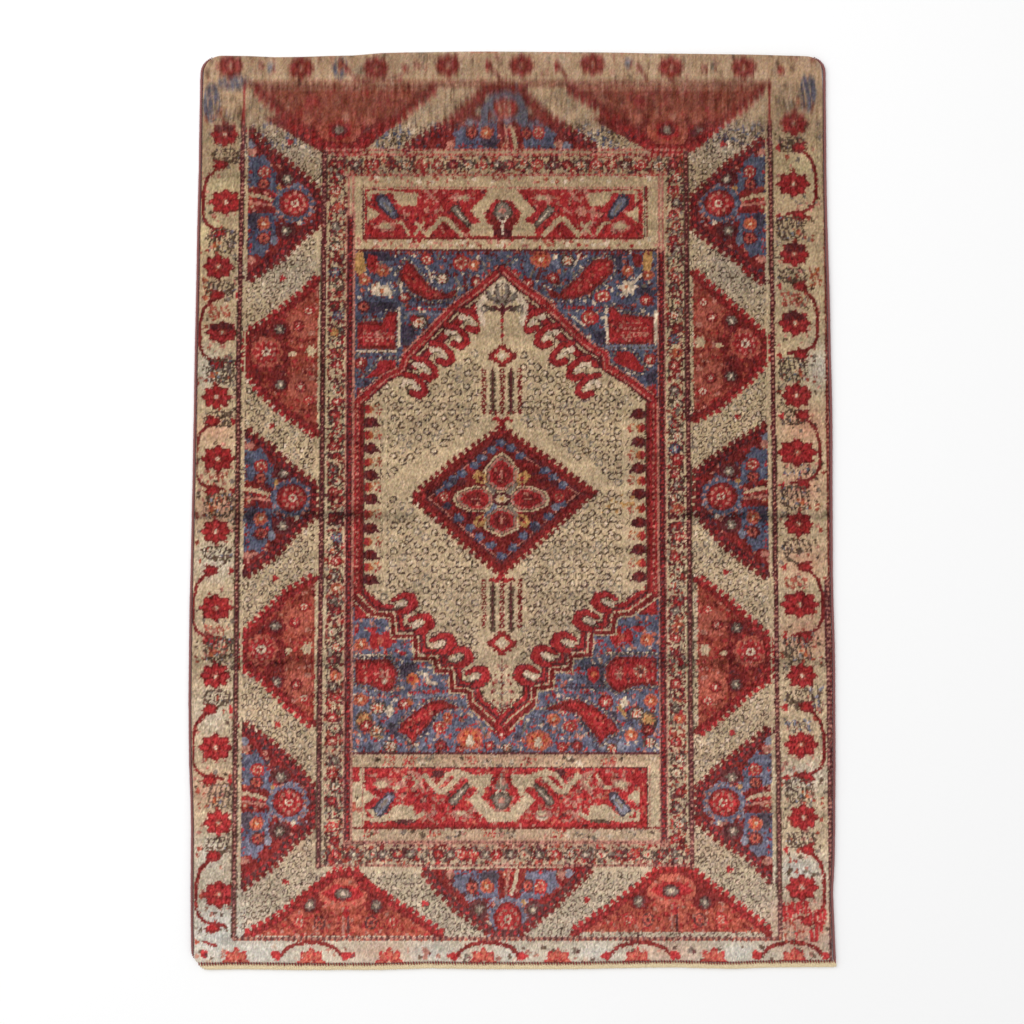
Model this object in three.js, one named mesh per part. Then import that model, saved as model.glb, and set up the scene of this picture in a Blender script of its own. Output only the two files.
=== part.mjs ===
// A hand-knotted wool rug of the Oushak kind, lying flat.
// Millimetres, +Z up. +Y points to the rug's top end and +X to its right side.
// The origin is on the floor, under the middle of the rug.
import * as THREE from "three";

// Thicknesses and widths of the pieces
const PILE_TOP = 8.0; // floor to the tips of the pile
const PILE_EDGE = 4.0; // the same at the rug's very edge
const PILE_ROUND = 5.0; // how far in from the edge the pile leans over
const SWELL = 0.5; // how uneven the walked-on surface is, up and down
const SELVEDGE_WIDE = 6.0;
const SELVEDGE_HIGH = 7.0;
const BINDING_WIDE = 13.5;
const BINDING_HIGH = 5.5;
const GAP = 0.3; // between pieces that touch

// Corners, as they are worn
const TOP_LEFT_RADIUS = 36;
const TOP_RIGHT_RADIUS = 28;
const CUT_CORNER = { across: 24, up: 30 }; // the bottom left corner is cut off
const BINDING_FOOT = 5; // the binding's own bottom right corner is rounded

// Lines of the pile's mesh, as distances in from its edges, and the even spans between
const EDGE_LINES = [0, 0.8, 2.4, PILE_ROUND];
const CORNER_LINES = [12, 20, 28, 36];
const SPANS_ACROSS = 22;
const SPANS_UP = 28;
const WRAP_SIDES = 10; // sides of a wrapped edge's section

// How far each edge wanders as it was woven and worn.
// "at" runs along the edge and "out" is the distance from the rug's middle.
const LEFT_SIDE = [
  { at: -890, out: 609 },
  { at: -740, out: 612 },
  { at: -600, out: 612.5 },
  { at: -500, out: 617.5 },
  { at: -376, out: 620 },
  { at: -220, out: 620 },
  { at: -70, out: 618 },
  { at: 83, out: 616.5 },
  { at: 240, out: 615.5 },
  { at: 470, out: 613.5 },
  { at: 708, out: 611 },
  { at: 890, out: 610 },
];
const RIGHT_SIDE = [
  { at: -890, out: 614 },
  { at: -840, out: 613 },
  { at: -750, out: 609.5 },
  { at: -640, out: 615 },
  { at: -452, out: 617.5 },
  { at: -300, out: 618.5 },
  { at: -150, out: 616 },
  { at: 10, out: 617 },
  { at: 160, out: 618.5 },
  { at: 316, out: 616.5 },
  { at: 629, out: 612 },
  { at: 890, out: 612.5 },
];
const TOP_END = [
  { at: -620, out: 877 },
  { at: -540, out: 876.5 },
  { at: -452, out: 873.5 },
  { at: -315, out: 877 },
  { at: -235, out: 883 },
  { at: -60, out: 885 },
  { at: 160, out: 883.5 },
  { at: 300, out: 881 },
  { at: 436, out: 879.5 },
  { at: 544, out: 877 },
  { at: 620, out: 873 },
];
const BOTTOM_END = [
  { at: -620, out: 886.5 },
  { at: -495, out: 885 },
  { at: -435, out: 886.5 },
  { at: -240, out: 886.5 },
  { at: -172, out: 883.5 },
  { at: -40, out: 885 },
  { at: 92, out: 885 },
  { at: 224, out: 883 },
  { at: 290, out: 881.5 },
  { at: 423, out: 884.5 },
  { at: 489, out: 881.5 },
  { at: 620, out: 881 },
];

// The distance out at a place along an edge, eased between the rows of its table.
function wander(table, at) {
  const next = table.findIndex((row) => row.at >= at);
  if (next === 0) return table[0].out;
  if (next < 0) return table[table.length - 1].out;
  const low = table[next - 1];
  const high = table[next];
  const share = THREE.MathUtils.smoothstep(at, low.at, high.at);
  return THREE.MathUtils.lerp(low.out, high.out, share);
}

const SIDE_INSET = SELVEDGE_WIDE + GAP;
const FOOT_INSET = BINDING_WIDE + GAP;
const TOP_AT = 860; // where the sides are measured for the top corners
const FOOT_AT = -872; // and for the bottom ones

function sideTable(sign) {
  return sign < 0 ? LEFT_SIDE : RIGHT_SIDE;
}

// Half of the pile's width on one side of the middle.
function pileSide(sign, y) {
  return wander(sideTable(sign), y) - SIDE_INSET;
}

// How far a round corner drops the top end, at a distance in from the side.
function cornerDrop(inFromSide, radius) {
  const along = THREE.MathUtils.clamp(radius - inFromSide, 0, radius);
  return radius - Math.sqrt(radius * radius - along * along);
}

function pileTopEnd(x) {
  const sign = Math.sign(x);
  const radius = sign < 0 ? TOP_LEFT_RADIUS : TOP_RIGHT_RADIUS;
  const inFromSide = pileSide(sign, TOP_AT) - Math.abs(x);
  return wander(TOP_END, x) - cornerDrop(inFromSide, radius);
}

// The cut corner is one slanting line that the pile, the binding and the selvedge share.
function cutLine(x) {
  const inFromSide = x + wander(LEFT_SIDE, FOOT_AT);
  const left = Math.max(0, 1 - inFromSide / CUT_CORNER.across);
  return -wander(BOTTOM_END, x) + left * CUT_CORNER.up;
}

function pileBottomEnd(x) {
  return Math.max(-wander(BOTTOM_END, x) + FOOT_INSET, cutLine(x) + GAP);
}

// Places across the pile from -1 at its left edge to 1 at its right, fine at the corners.
function placesAcross() {
  const half = pileSide(1, 0);
  const edge = [...EDGE_LINES, ...CORNER_LINES].map((inside) => 1 - inside / half);
  const inner = edge[edge.length - 1];
  const places = edge.map((place) => -place);
  for (let i = 1; i < SPANS_ACROSS; i++) {
    places.push(THREE.MathUtils.lerp(-inner, inner, i / SPANS_ACROSS));
  }
  places.push(...edge.reverse());
  return places;
}

// Shares of the way up the pile, from 0 at its bottom end to 1 at its top.
function sharesUp() {
  const edge = EDGE_LINES.map((inside) => inside / (2 * wander(TOP_END, 0)));
  const inner = edge[edge.length - 1];
  const shares = [...edge];
  for (let j = 1; j < SPANS_UP; j++) {
    shares.push(THREE.MathUtils.lerp(inner, 1 - inner, j / SPANS_UP));
  }
  shares.push(...edge.map((share) => 1 - share).reverse());
  return shares;
}

// A point of the pile's plan, with its distance in from the nearest edge.
function planPoint(place, share) {
  const sign = Math.sign(place);
  const low = pileBottomEnd(place * pileSide(sign, FOOT_AT));
  const high = pileTopEnd(place * pileSide(sign, TOP_AT));
  const y = THREE.MathUtils.lerp(low, high, share);
  const half = pileSide(sign, y);
  const inside = Math.min((1 - Math.abs(place)) * half, high - y, y - low);
  return { x: place * half, y, inside };
}

// Height of the pile, which swells a little and leans over near every edge.
function pileHeight({ x, y, inside }) {
  const waves =
    Math.sin(x / 171 + y / 260) +
    Math.sin(x / 97 - y / 143 + 1.3) +
    Math.sin(y / 88 + 0.7);
  const level = PILE_TOP + (SWELL * waves) / 3;
  const lean = THREE.MathUtils.clamp(1 - inside / PILE_ROUND, 0, 1);
  const fall = 1 - Math.sqrt(1 - lean * lean);
  return THREE.MathUtils.lerp(level, PILE_EDGE, fall);
}

function closedMesh(points, faces) {
  const geometry = new THREE.BufferGeometry();
  geometry.setAttribute("position", new THREE.Float32BufferAttribute(points, 3));
  geometry.setIndex(faces);
  return geometry;
}

// The knotted pile with its warp and weft, one closed slab with a flat underside.
function pileGeometry() {
  const places = placesAcross();
  const shares = sharesUp();
  const columns = places.length;
  const rows = shares.length;
  const plan = shares.flatMap((share) => places.map((place) => planPoint(place, share)));
  const points = [
    ...plan.flatMap((point) => [point.x, point.y, pileHeight(point)]),
    ...plan.flatMap((point) => [point.x, point.y, 0]),
  ];
  const faces = [];
  const quad = (a, b, c, d) => faces.push(a, b, c, a, c, d);
  const top = (i, j) => j * columns + i;
  const foot = (i, j) => columns * rows + top(i, j);
  for (let j = 0; j + 1 < rows; j++) {
    for (let i = 0; i + 1 < columns; i++) {
      quad(top(i, j), top(i + 1, j), top(i + 1, j + 1), top(i, j + 1));
      quad(foot(i, j), foot(i, j + 1), foot(i + 1, j + 1), foot(i + 1, j));
    }
  }
  const wall = (i0, j0, i1, j1) =>
    quad(foot(i0, j0), foot(i1, j1), top(i1, j1), top(i0, j0));
  for (let i = 0; i + 1 < columns; i++) {
    wall(i, 0, i + 1, 0);
    wall(i + 1, rows - 1, i, rows - 1);
  }
  for (let j = 0; j + 1 < rows; j++) {
    wall(columns - 1, j, columns - 1, j + 1);
    wall(0, j + 1, 0, j);
  }
  return closedMesh(points, faces);
}

// A closed solid through rings of points, each ring going the same way round.
function loft(rings) {
  const around = rings[0].length;
  const points = rings.flat().flatMap((point) => point.toArray());
  const faces = [];
  for (let r = 0; r + 1 < rings.length; r++) {
    for (let k = 0; k < around; k++) {
      const a = r * around + k;
      const b = r * around + ((k + 1) % around);
      faces.push(a, b, b + around, a, b + around, a + around);
    }
  }
  const last = (rings.length - 1) * around;
  for (let k = 1; k + 1 < around; k++) {
    faces.push(0, k + 1, k);
    faces.push(last, last + k, last + k + 1);
  }
  return closedMesh(points, faces);
}

// Section of a wrapped edge: "out" runs from 0 to wide, and its foot is flat on the floor.
function wrappedSection(wide, high) {
  const section = [];
  for (let k = 0; k < WRAP_SIDES; k++) {
    const angle = ((k + 0.5) / WRAP_SIDES) * 2 * Math.PI;
    const out = THREE.MathUtils.clamp(1 + 1.06 * Math.cos(angle), 0, 2);
    const up = THREE.MathUtils.clamp(1 + 1.1 * Math.sin(angle), 0, 2);
    section.push({ out: (out * wide) / 2, up: (up * high) / 2 });
  }
  return section;
}

// The pile's own edge along one side, from the foot up and part of the way round the top.
function pileRim(sign) {
  const side = sharesUp().map((share) => planPoint(sign, share));
  const half = pileSide(1, 0);
  const corner = [...EDGE_LINES.slice(1), ...CORNER_LINES.slice(0, 2)];
  const round = corner.map((inside) => planPoint(sign * (1 - inside / half), 1));
  const rim = [...side, ...round].map(({ x, y }) => new THREE.Vector2(x, y));
  return { rim, straight: side.length };
}

// The wool overcast along one side, which runs out round the top corner.
function selvedgeGeometry(sign) {
  const { rim, straight } = pileRim(sign);
  const outward = (a, b) => {
    const along = b.clone().sub(a).normalize();
    return new THREE.Vector2(sign * along.y, -sign * along.x);
  };
  const rings = rim.map((point, i) => {
    const before = outward(rim[Math.max(i - 1, 0)], rim[Math.max(i, 1)]);
    const after = i + 1 < rim.length ? outward(point, rim[i + 1]) : before;
    const normal = before.clone().add(after).normalize();
    const stretch = 1 / normal.dot(before);
    const size = 1 - (0.7 * Math.max(0, i + 1 - straight)) / (rim.length - straight);
    const section = wrappedSection(SELVEDGE_WIDE * size, SELVEDGE_HIGH * size);
    const ring = section.map(({ out, up }) => {
      const place = point.clone().addScaledVector(normal, (GAP + out) * stretch);
      const cut = sign < 0 ? cutLine(place.x) + GAP : place.y;
      return new THREE.Vector3(place.x, Math.max(place.y, cut), up);
    });
    return sign > 0 ? ring.reverse() : ring;
  });
  return loft(rings);
}

// The cream binding sewn over the bottom end, cut off at its left corner.
function bindingGeometry() {
  const left = -wander(LEFT_SIDE, FOOT_AT);
  const right = wander(RIGHT_SIDE, FOOT_AT);
  const cutEnds = CUT_CORNER.across * (1 - BINDING_WIDE / CUT_CORNER.up);
  const start = left + cutEnds;
  const under = placesAcross().map((place) => planPoint(place, 0).x);
  const stations = [
    start,
    ...under.filter((x) => x > start + 1),
    right - BINDING_FOOT / 3,
    right,
  ];
  const rings = stations.map((x) => {
    const low = -wander(BOTTOM_END, x);
    const foot = Math.max(low + cornerDrop(right - x, BINDING_FOOT), cutLine(x));
    const wide = Math.max(low + BINDING_WIDE - foot, 1);
    const high = BINDING_HIGH * Math.min(1, 0.6 + (right - x) / 12);
    return wrappedSection(wide, high).map(
      ({ out, up }) => new THREE.Vector3(x, low + BINDING_WIDE - wide + out, up),
    );
  });
  return loft(rings);
}

const WOOL = { metalness: 0, roughness: 0.95 };
const pileWool = new THREE.MeshStandardMaterial({ color: 0xa86a55, ...WOOL });
const selvedgeWool = new THREE.MeshStandardMaterial({ color: 0x5c3038, ...WOOL });
const bindingYarn = new THREE.MeshStandardMaterial({ color: 0xcbb384, ...WOOL });

const rug = new THREE.Group();

function add(name, geometry, material) {
  const mesh = new THREE.Mesh(geometry, material);
  mesh.name = name;
  rug.add(mesh);
}

add("rug_body", pileGeometry(), pileWool);
add("selvedge_left", selvedgeGeometry(-1), selvedgeWool);
add("selvedge_right", selvedgeGeometry(1), selvedgeWool);
add("end_binding", bindingGeometry(), bindingYarn);

// The origin lies under the middle of the whole rug, edges included.
const middle = new THREE.Box3().setFromObject(rug).getCenter(new THREE.Vector3());
rug.position.set(-middle.x, -middle.y, 0);

export default rug;
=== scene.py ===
import bpy
import numpy as np
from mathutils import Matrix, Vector


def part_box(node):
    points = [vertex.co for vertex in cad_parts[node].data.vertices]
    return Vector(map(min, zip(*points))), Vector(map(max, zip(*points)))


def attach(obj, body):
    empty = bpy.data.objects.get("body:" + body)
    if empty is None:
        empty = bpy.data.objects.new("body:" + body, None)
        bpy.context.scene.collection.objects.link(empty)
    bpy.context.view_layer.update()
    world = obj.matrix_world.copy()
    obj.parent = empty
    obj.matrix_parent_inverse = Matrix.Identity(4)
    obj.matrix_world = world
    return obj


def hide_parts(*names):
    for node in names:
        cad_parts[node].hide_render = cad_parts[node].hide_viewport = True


bl_info = {
    "name": "Oushak Rug",
    "version": (1, 0, 0),
    "blender": (4, 5, 0),
    "location": "3D View > Sidebar > Rug",
    "description": "Knots a small Oushak rug around its packed frame",
    "category": "Add Mesh",
}

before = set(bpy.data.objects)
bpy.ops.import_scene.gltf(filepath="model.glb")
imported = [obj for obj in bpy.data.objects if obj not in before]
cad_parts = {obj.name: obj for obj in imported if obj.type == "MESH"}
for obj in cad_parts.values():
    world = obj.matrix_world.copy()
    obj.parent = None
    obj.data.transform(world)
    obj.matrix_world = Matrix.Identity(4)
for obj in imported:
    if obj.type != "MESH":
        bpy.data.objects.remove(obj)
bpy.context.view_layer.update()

MM = 0.001

# The wools, in sRGB from 0 to 255
WOOLS = {
    "tan": (180, 149, 116),
    "cream": (206, 182, 156),
    "salmon": (168, 84, 68),
    "rose": (176, 112, 96),
    "red": (154, 40, 41),
    "madder": (112, 34, 32),
    "maroon": (80, 31, 33),
    "blue": (88, 91, 112),
    "sky": (124, 124, 138),
    "navy": (56, 48, 60),
    "orange": (176, 92, 58),
    "gold": (176, 130, 78),
    "grey": (118, 104, 92),
    "dark": (72, 54, 46),
    "umber": (80, 60, 46),
    "brick": (146, 64, 50),
    "indigo": (78, 83, 108),
}
INDEX = {name: number for number, name in enumerate(WOOLS)}


def value(word):
    """What a word in a table stands for: several wools, a pair of widths, a number or a name."""
    if "/" in word:
        return tuple(word.split("/"))
    if ":" in word:
        return tuple(float(part) for part in word.split(":"))
    try:
        return float(word)
    except ValueError:
        return word


def rows(table):
    """The rows of a table, as lists. A row that starts with a space goes on from the one before."""
    for row in table.replace("\n ", " ").strip().splitlines():
        yield [value(word) for word in row.replace(",", " ").split()]


def rectangle(left, bottom, right, top):
    """The corners of a box."""
    return left, bottom, right, bottom, right, top, left, top


class Cartoon:
    """The rug's design: the knots' places in mm, x and y, and the number of each one's wool."""

    def __init__(self, x, y):
        self.x, self.y = x, y
        self.wool = np.full(x.shape, INDEX["tan"], np.uint8)

    def around(self, low, high):
        """The rows and columns of knots about a box."""
        slack = 16
        across, up = self.x[len(self.x) // 2], self.y[:, self.x.shape[1] // 2]
        i = slice(*np.searchsorted(across, (low[0] - slack, high[0] + slack)))
        j = slice(*np.searchsorted(up, (low[1] - slack, high[1] + slack)))
        return j, i


class Pen:
    """Draws on a cartoon in mm, from an origin and along axes of its own."""

    def __init__(self, cartoon, origin=(0, 0), right=(1, 0), up=(0, 1)):
        self.cartoon = cartoon
        self.origin = np.array(origin, float)
        self.axes = np.array([right, up], float)

    def at(self, a, b, turn=0, flip=1):
        """A pen that starts at another place of this one's, turned by degrees and flipped across."""
        c, s = np.cos(np.radians(turn)), np.sin(np.radians(turn))
        axes = np.array([(c * flip, s * flip), (-s, c)]) @ self.axes
        return Pen(self.cartoon, self.origin + (a, b) @ self.axes, *axes)

    def mark(self, points, slack, wool, inside):
        """Ties wool wherever inside(a, b) holds about the points."""
        places = self.origin + np.reshape(points, (-1, 2)) @ self.axes
        here = self.cartoon.around(places.min(0) - slack, places.max(0) + slack)
        away = np.stack([self.cartoon.x[here], self.cartoon.y[here]], -1) - self.origin
        local = away @ np.linalg.inv(self.axes)
        self.cartoon.wool[here][inside(local[..., 0], local[..., 1])] = INDEX[wool]

    def fill(self, wool, *corners):
        """A patch with straight sides."""
        self.mark(corners, 0, wool, lambda a, b: within(a, b, corners))

    def trimmed(self, wool, *corners):
        """A patch with a broken pale line round it."""
        ring = (*corners, *corners[:2])
        self.beads("navy", 6, 9, *nudged(ring, 5))
        self.studs("grey", 5, 9, *nudged(ring, 4))
        self.studs("cream", 3.5, 18, *nudged(ring, 5))
        self.fill(wool, *corners)

    def mottled(self, wool, *corners):
        """A patch flecked with its neighbours' wools."""
        self.fill(wool, *corners)
        self.speckle(("madder", "rose", "maroon", "red", "salmon", "red"), 0.5, 7.5, *corners)

    def box(self, wool, left, bottom, right, top):
        """A patch with upright sides."""
        self.fill(wool, *rectangle(left, bottom, right, top))

    def line(self, wool, width, *points):
        """A line through points, whose width may be a pair, for its start and its end."""
        self.mark(points, 10, wool, lambda a, b: along(a, b, points, width))

    def dot(self, wool, a0, b0, wide, high=None, lobes=0, depth=0.3):
        """A round or lobed spot."""
        high = high or wide

        def inside(a, b):
            across, up = (a - a0) / (wide / 2), (b - b0) / (high / 2)
            turn = np.arctan2(up, across)
            edge = 1 - depth * (0.5 - 0.5 * np.cos(lobes * turn)) if lobes else 1
            return np.hypot(across, up) <= edge

        self.mark([a0, b0], max(wide, high), wool, inside)

    def beads(self, wool, size, pitch, *points, start=0.5):
        """A row of spots along a line through points."""
        for a, b in paces(points, pitch, start):
            self.dot(wool, a, b, size)

    def studs(self, wool, size, pitch, *points):
        """A row of spots that lie between the beads of the same line."""
        self.beads(wool, size, pitch, *points, start=0)

    def stripe(self, wool, width, spots, size, pitch, *points):
        """A line with a row of spots on it."""
        self.line(wool, width, *points)
        self.beads(spots, size, pitch, *points)

    def scrolls(self, rings, across, up, *corners):
        """Small open rings stamped on the knots of a patch, in staggered rows so far across and up."""
        knots, x, y = self.cartoon.wool, self.cartoon.x, self.cartoon.y
        low, high = np.reshape(corners, (-1, 2)).min(0), np.reshape(corners, (-1, 2)).max(0)
        rng = np.random.default_rng(round(abs(low.sum())))
        for row, b in enumerate(np.arange(low[1] - up, high[1], up)):
            for a in np.arange(low[0] - across * (row % 2) / 2, high[0], across):
                a0, b0 = (a, b) + rng.uniform(-1.6, 1.6, 2)
                ring = rings[rng.integers(len(rings))]
                if within(a0, b0, corners):
                    i = round((a0 - x[0, 0]) / (x[0, 1] - x[0, 0])) - 3
                    j = round((b0 - y[0, 0]) / (y[1, 0] - y[0, 0])) - 3
                    here = knots[j:j + ring.shape[0], i:i + ring.shape[1]]
                    here[ring == 1] = INDEX[RING_WOOLS[rng.integers(len(RING_WOOLS))]]
                    here[ring == 2] = INDEX["cream"]

    def speckle(self, wools, share, pitch, *corners):
        """Small uneven spots of several wools, scattered over a share of a patch."""
        low, high = np.reshape(corners, (-1, 2)).min(0), np.reshape(corners, (-1, 2)).max(0)
        rng = np.random.default_rng(len(wools) + round(abs(low.sum())))
        a, b = np.meshgrid(np.arange(low[0], high[0], pitch), np.arange(low[1], high[1], pitch))
        a, b = a + rng.uniform(0, pitch, a.shape), b + rng.uniform(0, pitch, b.shape)
        kept = within(a, b, corners) & (rng.random(a.shape) < share)
        for a0, b0 in zip(a[kept], b[kept]):
            size = rng.uniform(0.5, 1.05, 2) * pitch
            self.dot(wools[rng.integers(len(wools))], a0, b0, *size)

    def flecks(self, wools, share, pitch, *box):
        """Small uneven spots, scattered over a share of a box."""
        self.speckle(wools, share, pitch, *rectangle(*box))

    def draw(self, table):
        """Draws the rows of a table, each a way to draw and what it takes."""
        for way, *rest in rows(table):
            getattr(self, way)(*rest)

    def flower(self, kind, a, b, size, high=None):
        """A small round flower: a ring, petals with seeds, and a heart."""
        ring, petals, seeds, heart = FLOWERS[kind]
        high = high or size * 0.9
        self.dot(ring, a, b, size, high)
        self.dot(petals, a, b, size * 0.8, high * 0.8, 6, 0.25)
        seed = max(3.2, size * 0.13)
        for turn in np.radians(np.arange(30, 390, 60)):
            self.dot(seeds, a + size * 0.27 * np.cos(turn), b + high * 0.27 * np.sin(turn), seed)
        self.dot(heart, a, b, max(4, size * 0.26))


def charted(*lines):
    """A small motif charted knot by knot, from its top row down: # is a dark knot and o a light one."""
    return np.array([[" #o".index(knot) for knot in row] for row in lines[::-1]])


RING_WOOLS = ("umber", "dark", "umber", "dark", "grey")
SCROLLS = (
    charted("  ###  ", " ##  # ", "##oo   ", "#ooo   ", "##  o##", " ##### "),
    charted(" ####  ", "##  #  ", "#oo  # ", "#ooo ##", "##  ## ", "  ###  "),
    charted("  ###  ", "##  ## ", "# ooo# ", "# oo ##", " #  ## ", "  ###  "),
    charted("  #### ", " ##  ##", "    oo#", "#  ooo#", "##  ## ", " ####  "),
)

SMALL_SCROLLS = (
    charted(" ### ", "#ooo#", "#oo  ", "#ooo#", " ##  "),
    charted(" ##  ", "#  # ", "#oo# ", "#  # ", " ##  "),
    charted(" ### ", "#  # ", "  oo#", "#  # ", " ### "),
)

# Each small flower's ring, petals, seeds and heart
FLOWERS = {
    "orange": ("salmon", "orange", "red", "cream"),
    "red": ("madder", "red", "rose", "cream"),
    "salmon": ("red", "salmon", "cream", "red"),
    "maroon": ("maroon", "madder", "red", "rose"),
    "grey": ("maroon", "grey", "dark", "cream"),
    "cream": ("dark", "cream", "red", "orange"),
    "blue": ("navy", "sky", "red", "cream"),
    "gold": ("dark", "gold", "orange", "gold"),
    "tan": ("dark", "tan", "cream", "red"),
    "ring": ("maroon", "salmon", "red", "maroon"),
}


def within(a, b, corners):
    """Whether places lie inside a patch."""
    corners = np.reshape(corners, (-1, 2)).astype(float)
    found = np.zeros(np.shape(a), bool)
    for (a0, b0), (a1, b1) in zip(corners, np.roll(corners, -1, 0)):
        rise = b1 - b0 if b1 != b0 else 1.0
        found ^= ((b0 > b) != (b1 > b)) & (a < (a1 - a0) * (b - b0) / rise + a0)
    return found


def along(a, b, points, width):
    """Whether places lie on a line through points."""
    points = np.reshape(points, (-1, 2)).astype(float)
    first, last = width if isinstance(width, tuple) else (width, width)
    widths = np.linspace(first, last, len(points))
    found = np.zeros(np.shape(a), bool)
    for start, end, wide, narrow in zip(points, points[1:], widths, widths[1:]):
        step = end - start
        share = (((a - start[0]) * step[0] + (b - start[1]) * step[1]) / (step @ step)).clip(0, 1)
        off = np.hypot(a - start[0] - share * step[0], b - start[1] - share * step[1])
        found |= off <= (wide + (narrow - wide) * share) / 2
    return found


def paces(points, pitch, start=0.5):
    """Places a pitch apart along a line through points."""
    points = np.reshape(points, (-1, 2)).astype(float)
    lengths = np.hypot(*np.diff(points, axis=0).T)
    ends = np.concatenate([[0], np.cumsum(lengths)])
    count = max(1, round(ends[-1] / pitch))
    stops = (np.arange(count) + start) * ends[-1] / count
    return [(np.interp(s, ends, points[:, 0]), np.interp(s, ends, points[:, 1])) for s in stops]


# The outer border. Each side rosette's petals, whether the vine loops round it, its middle and its size
SIDE_ROSETTES = """
maroon plain -559,720 54 46
red looped -556,587 56 48
red plain -569,460 58 48
maroon looped -560,332 56 42
red plain -570,206 56 46
red looped -566,87 56 50
red plain -569,-53 56 46
red looped -567,-200 56 50
red plain -567,-329 56 48
red looped -565,-465 56 50
red plain -558,-607 54 48
red looped -556,-742 54 50
red plain 549,742 54 46
red looped 547,622 56 48
maroon plain 547,485 56 48
maroon looped 547,350 56 48
red plain 549,209 56 48
red looped 549,99 70 50
red plain 551,-39 56 48
red looped 551,-193 66 50
red plain 554,-329 56 48
red looped 551,-460 56 48
red plain 554,-597 56 48
red looped 550,-729 54 48
"""
END_ROSETTES = (
    (-549, 855), (-411, 851), (-265, 852), (-125, 856), (19, 856), (157, 859), (310, 852), (452, 852),
    (-522, -870), (-380, -870), (-232, -870), (-54, -870), (87, -870), (237, -870), (382, -870), (534, -870),
)

# What stands between the end rosettes: small leaves, and the vine's stems
END_LEAVES = """
rose -490,856 14 24
sky -470,853 20 20
salmon -334,858 16 26
red -322,848 14 14
red -208,850 12 14
rose -186,858 18 16
red -46,856 15 24
red 88,854 14 20
sky 228,862 18 18
rose 246,852 16 20
rose 375,850 16 22
grey 392,855 16 18
red 525,847 18 16
red -583,-853 14 20
red -448,-852 20 12
red -306,-854 20 12
rose -160,-850 16 12
red 15,-858 18 14
red 181,-854 18 12
red 308,-852 20 12
red 463,-852 20 12
grey -85,-858 14 12
grey 120,-846 16 12
grey 340,-846 16 12
"""
END_VINES = """
line madder 5 -332,862 -305,832
line madder 5 -46,859 -19,826
line madder 5 -300,830 -215,834
line madder 5 88,862 108,830
line madder 5 246,858 262,830
line madder 5 -583,-830 -560,-838
"""

# The vine round a looped rosette, and what stands over the others
LOOP = """
line madder 7:6 0,76 20,64 36,47 43,20 43,-28 36,-44 20,-54 0,-55 -14,-60
line umber 6:3 4,72 -10,82 -26,92
fill madder -2,66 14,60 28,70 20,76 26,84 8,82 -4,76
dot red 12,72 17 11
fill red -38,72 -26,63 -24,79
fill madder -2,-68 14,-74 28,-64 20,-58 26,-50 8,-52 -4,-58
dot red 12,-62 17 11
fill red -38,-62 -26,-71 -24,-55
flecks dark/umber/grey 0.35 8 20,-90 46,-60
"""
SPRAYS = """
flecks brick/orange/rose/tan 0.5 9 -10,26 42,50
flecks umber/dark/grey 0.45 7 -36,-26 -24,30
"""

# The dark line down each side, and the spotted one inside the right one
EDGE_LINES = """
line madder 6 -610,700 -612,130
line madder 8 608,720 612,-870
line maroon 10 604,-150 606,-880
beads rose 5 9 -610,700 -612,130
beads rose 5 9 608,720 612,-870
beads rose 5 9 604,-150 606,-880
"""
CORNER_LEAVES = (
    (520, -768), (537, -766), (553, -764), (522, -782), (570, -782), (582, -800), (572, -818), (588, -778),
)

# The pale blue and the orange leaves that fill the side borders' corners
FEATHERS = """
indigo -585,782 28 70
indigo 577,802 26 64
indigo -540,822 60 20
indigo -335,852 24 36
sky 582,-372 26 60
orange -565,8 46 30
salmon -566,372 44 26
salmon 550,397 58 28
orange 588,440 26 40
orange -590,415 22 44
sky 548,64 52 26
salmon 546,-152 50 22
sky 545,-424 50 24
salmon -568,52 40 20
salmon -566,-262 46 60
grey 540,700 44 28
grey -556,258 40 60
"""


def rosette(pen, wide, high, wool):
    """An eight-lobed rosette with a small light heart, its upper petals sometimes dark."""
    petals, outline = ("salmon", "red") if wool == "faded" else ("red", "madder")
    pen.dot(outline, 0, 0, wide + 4, high + 4, 8, 0.22)
    pen.dot(petals, 0, 0, wide - 3, high - 3, 8, 0.26)
    if wool == "maroon":
        pen.dot("maroon", 0, high * 0.22, wide * 0.7, high * 0.5, 3, 0.1)
    for turn in np.radians(np.arange(22.5, 360, 45)):
        pen.line(outline, 2.6, 0, 0, wide * 0.38 * np.cos(turn), high * 0.38 * np.sin(turn))
    pen.dot("madder", 0, 0, 20, 16, 6, 0.2)
    pen.dot("salmon", 0, 0, 12, 11)
    pen.dot("cream", 0, 0, 6, 6)


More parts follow.
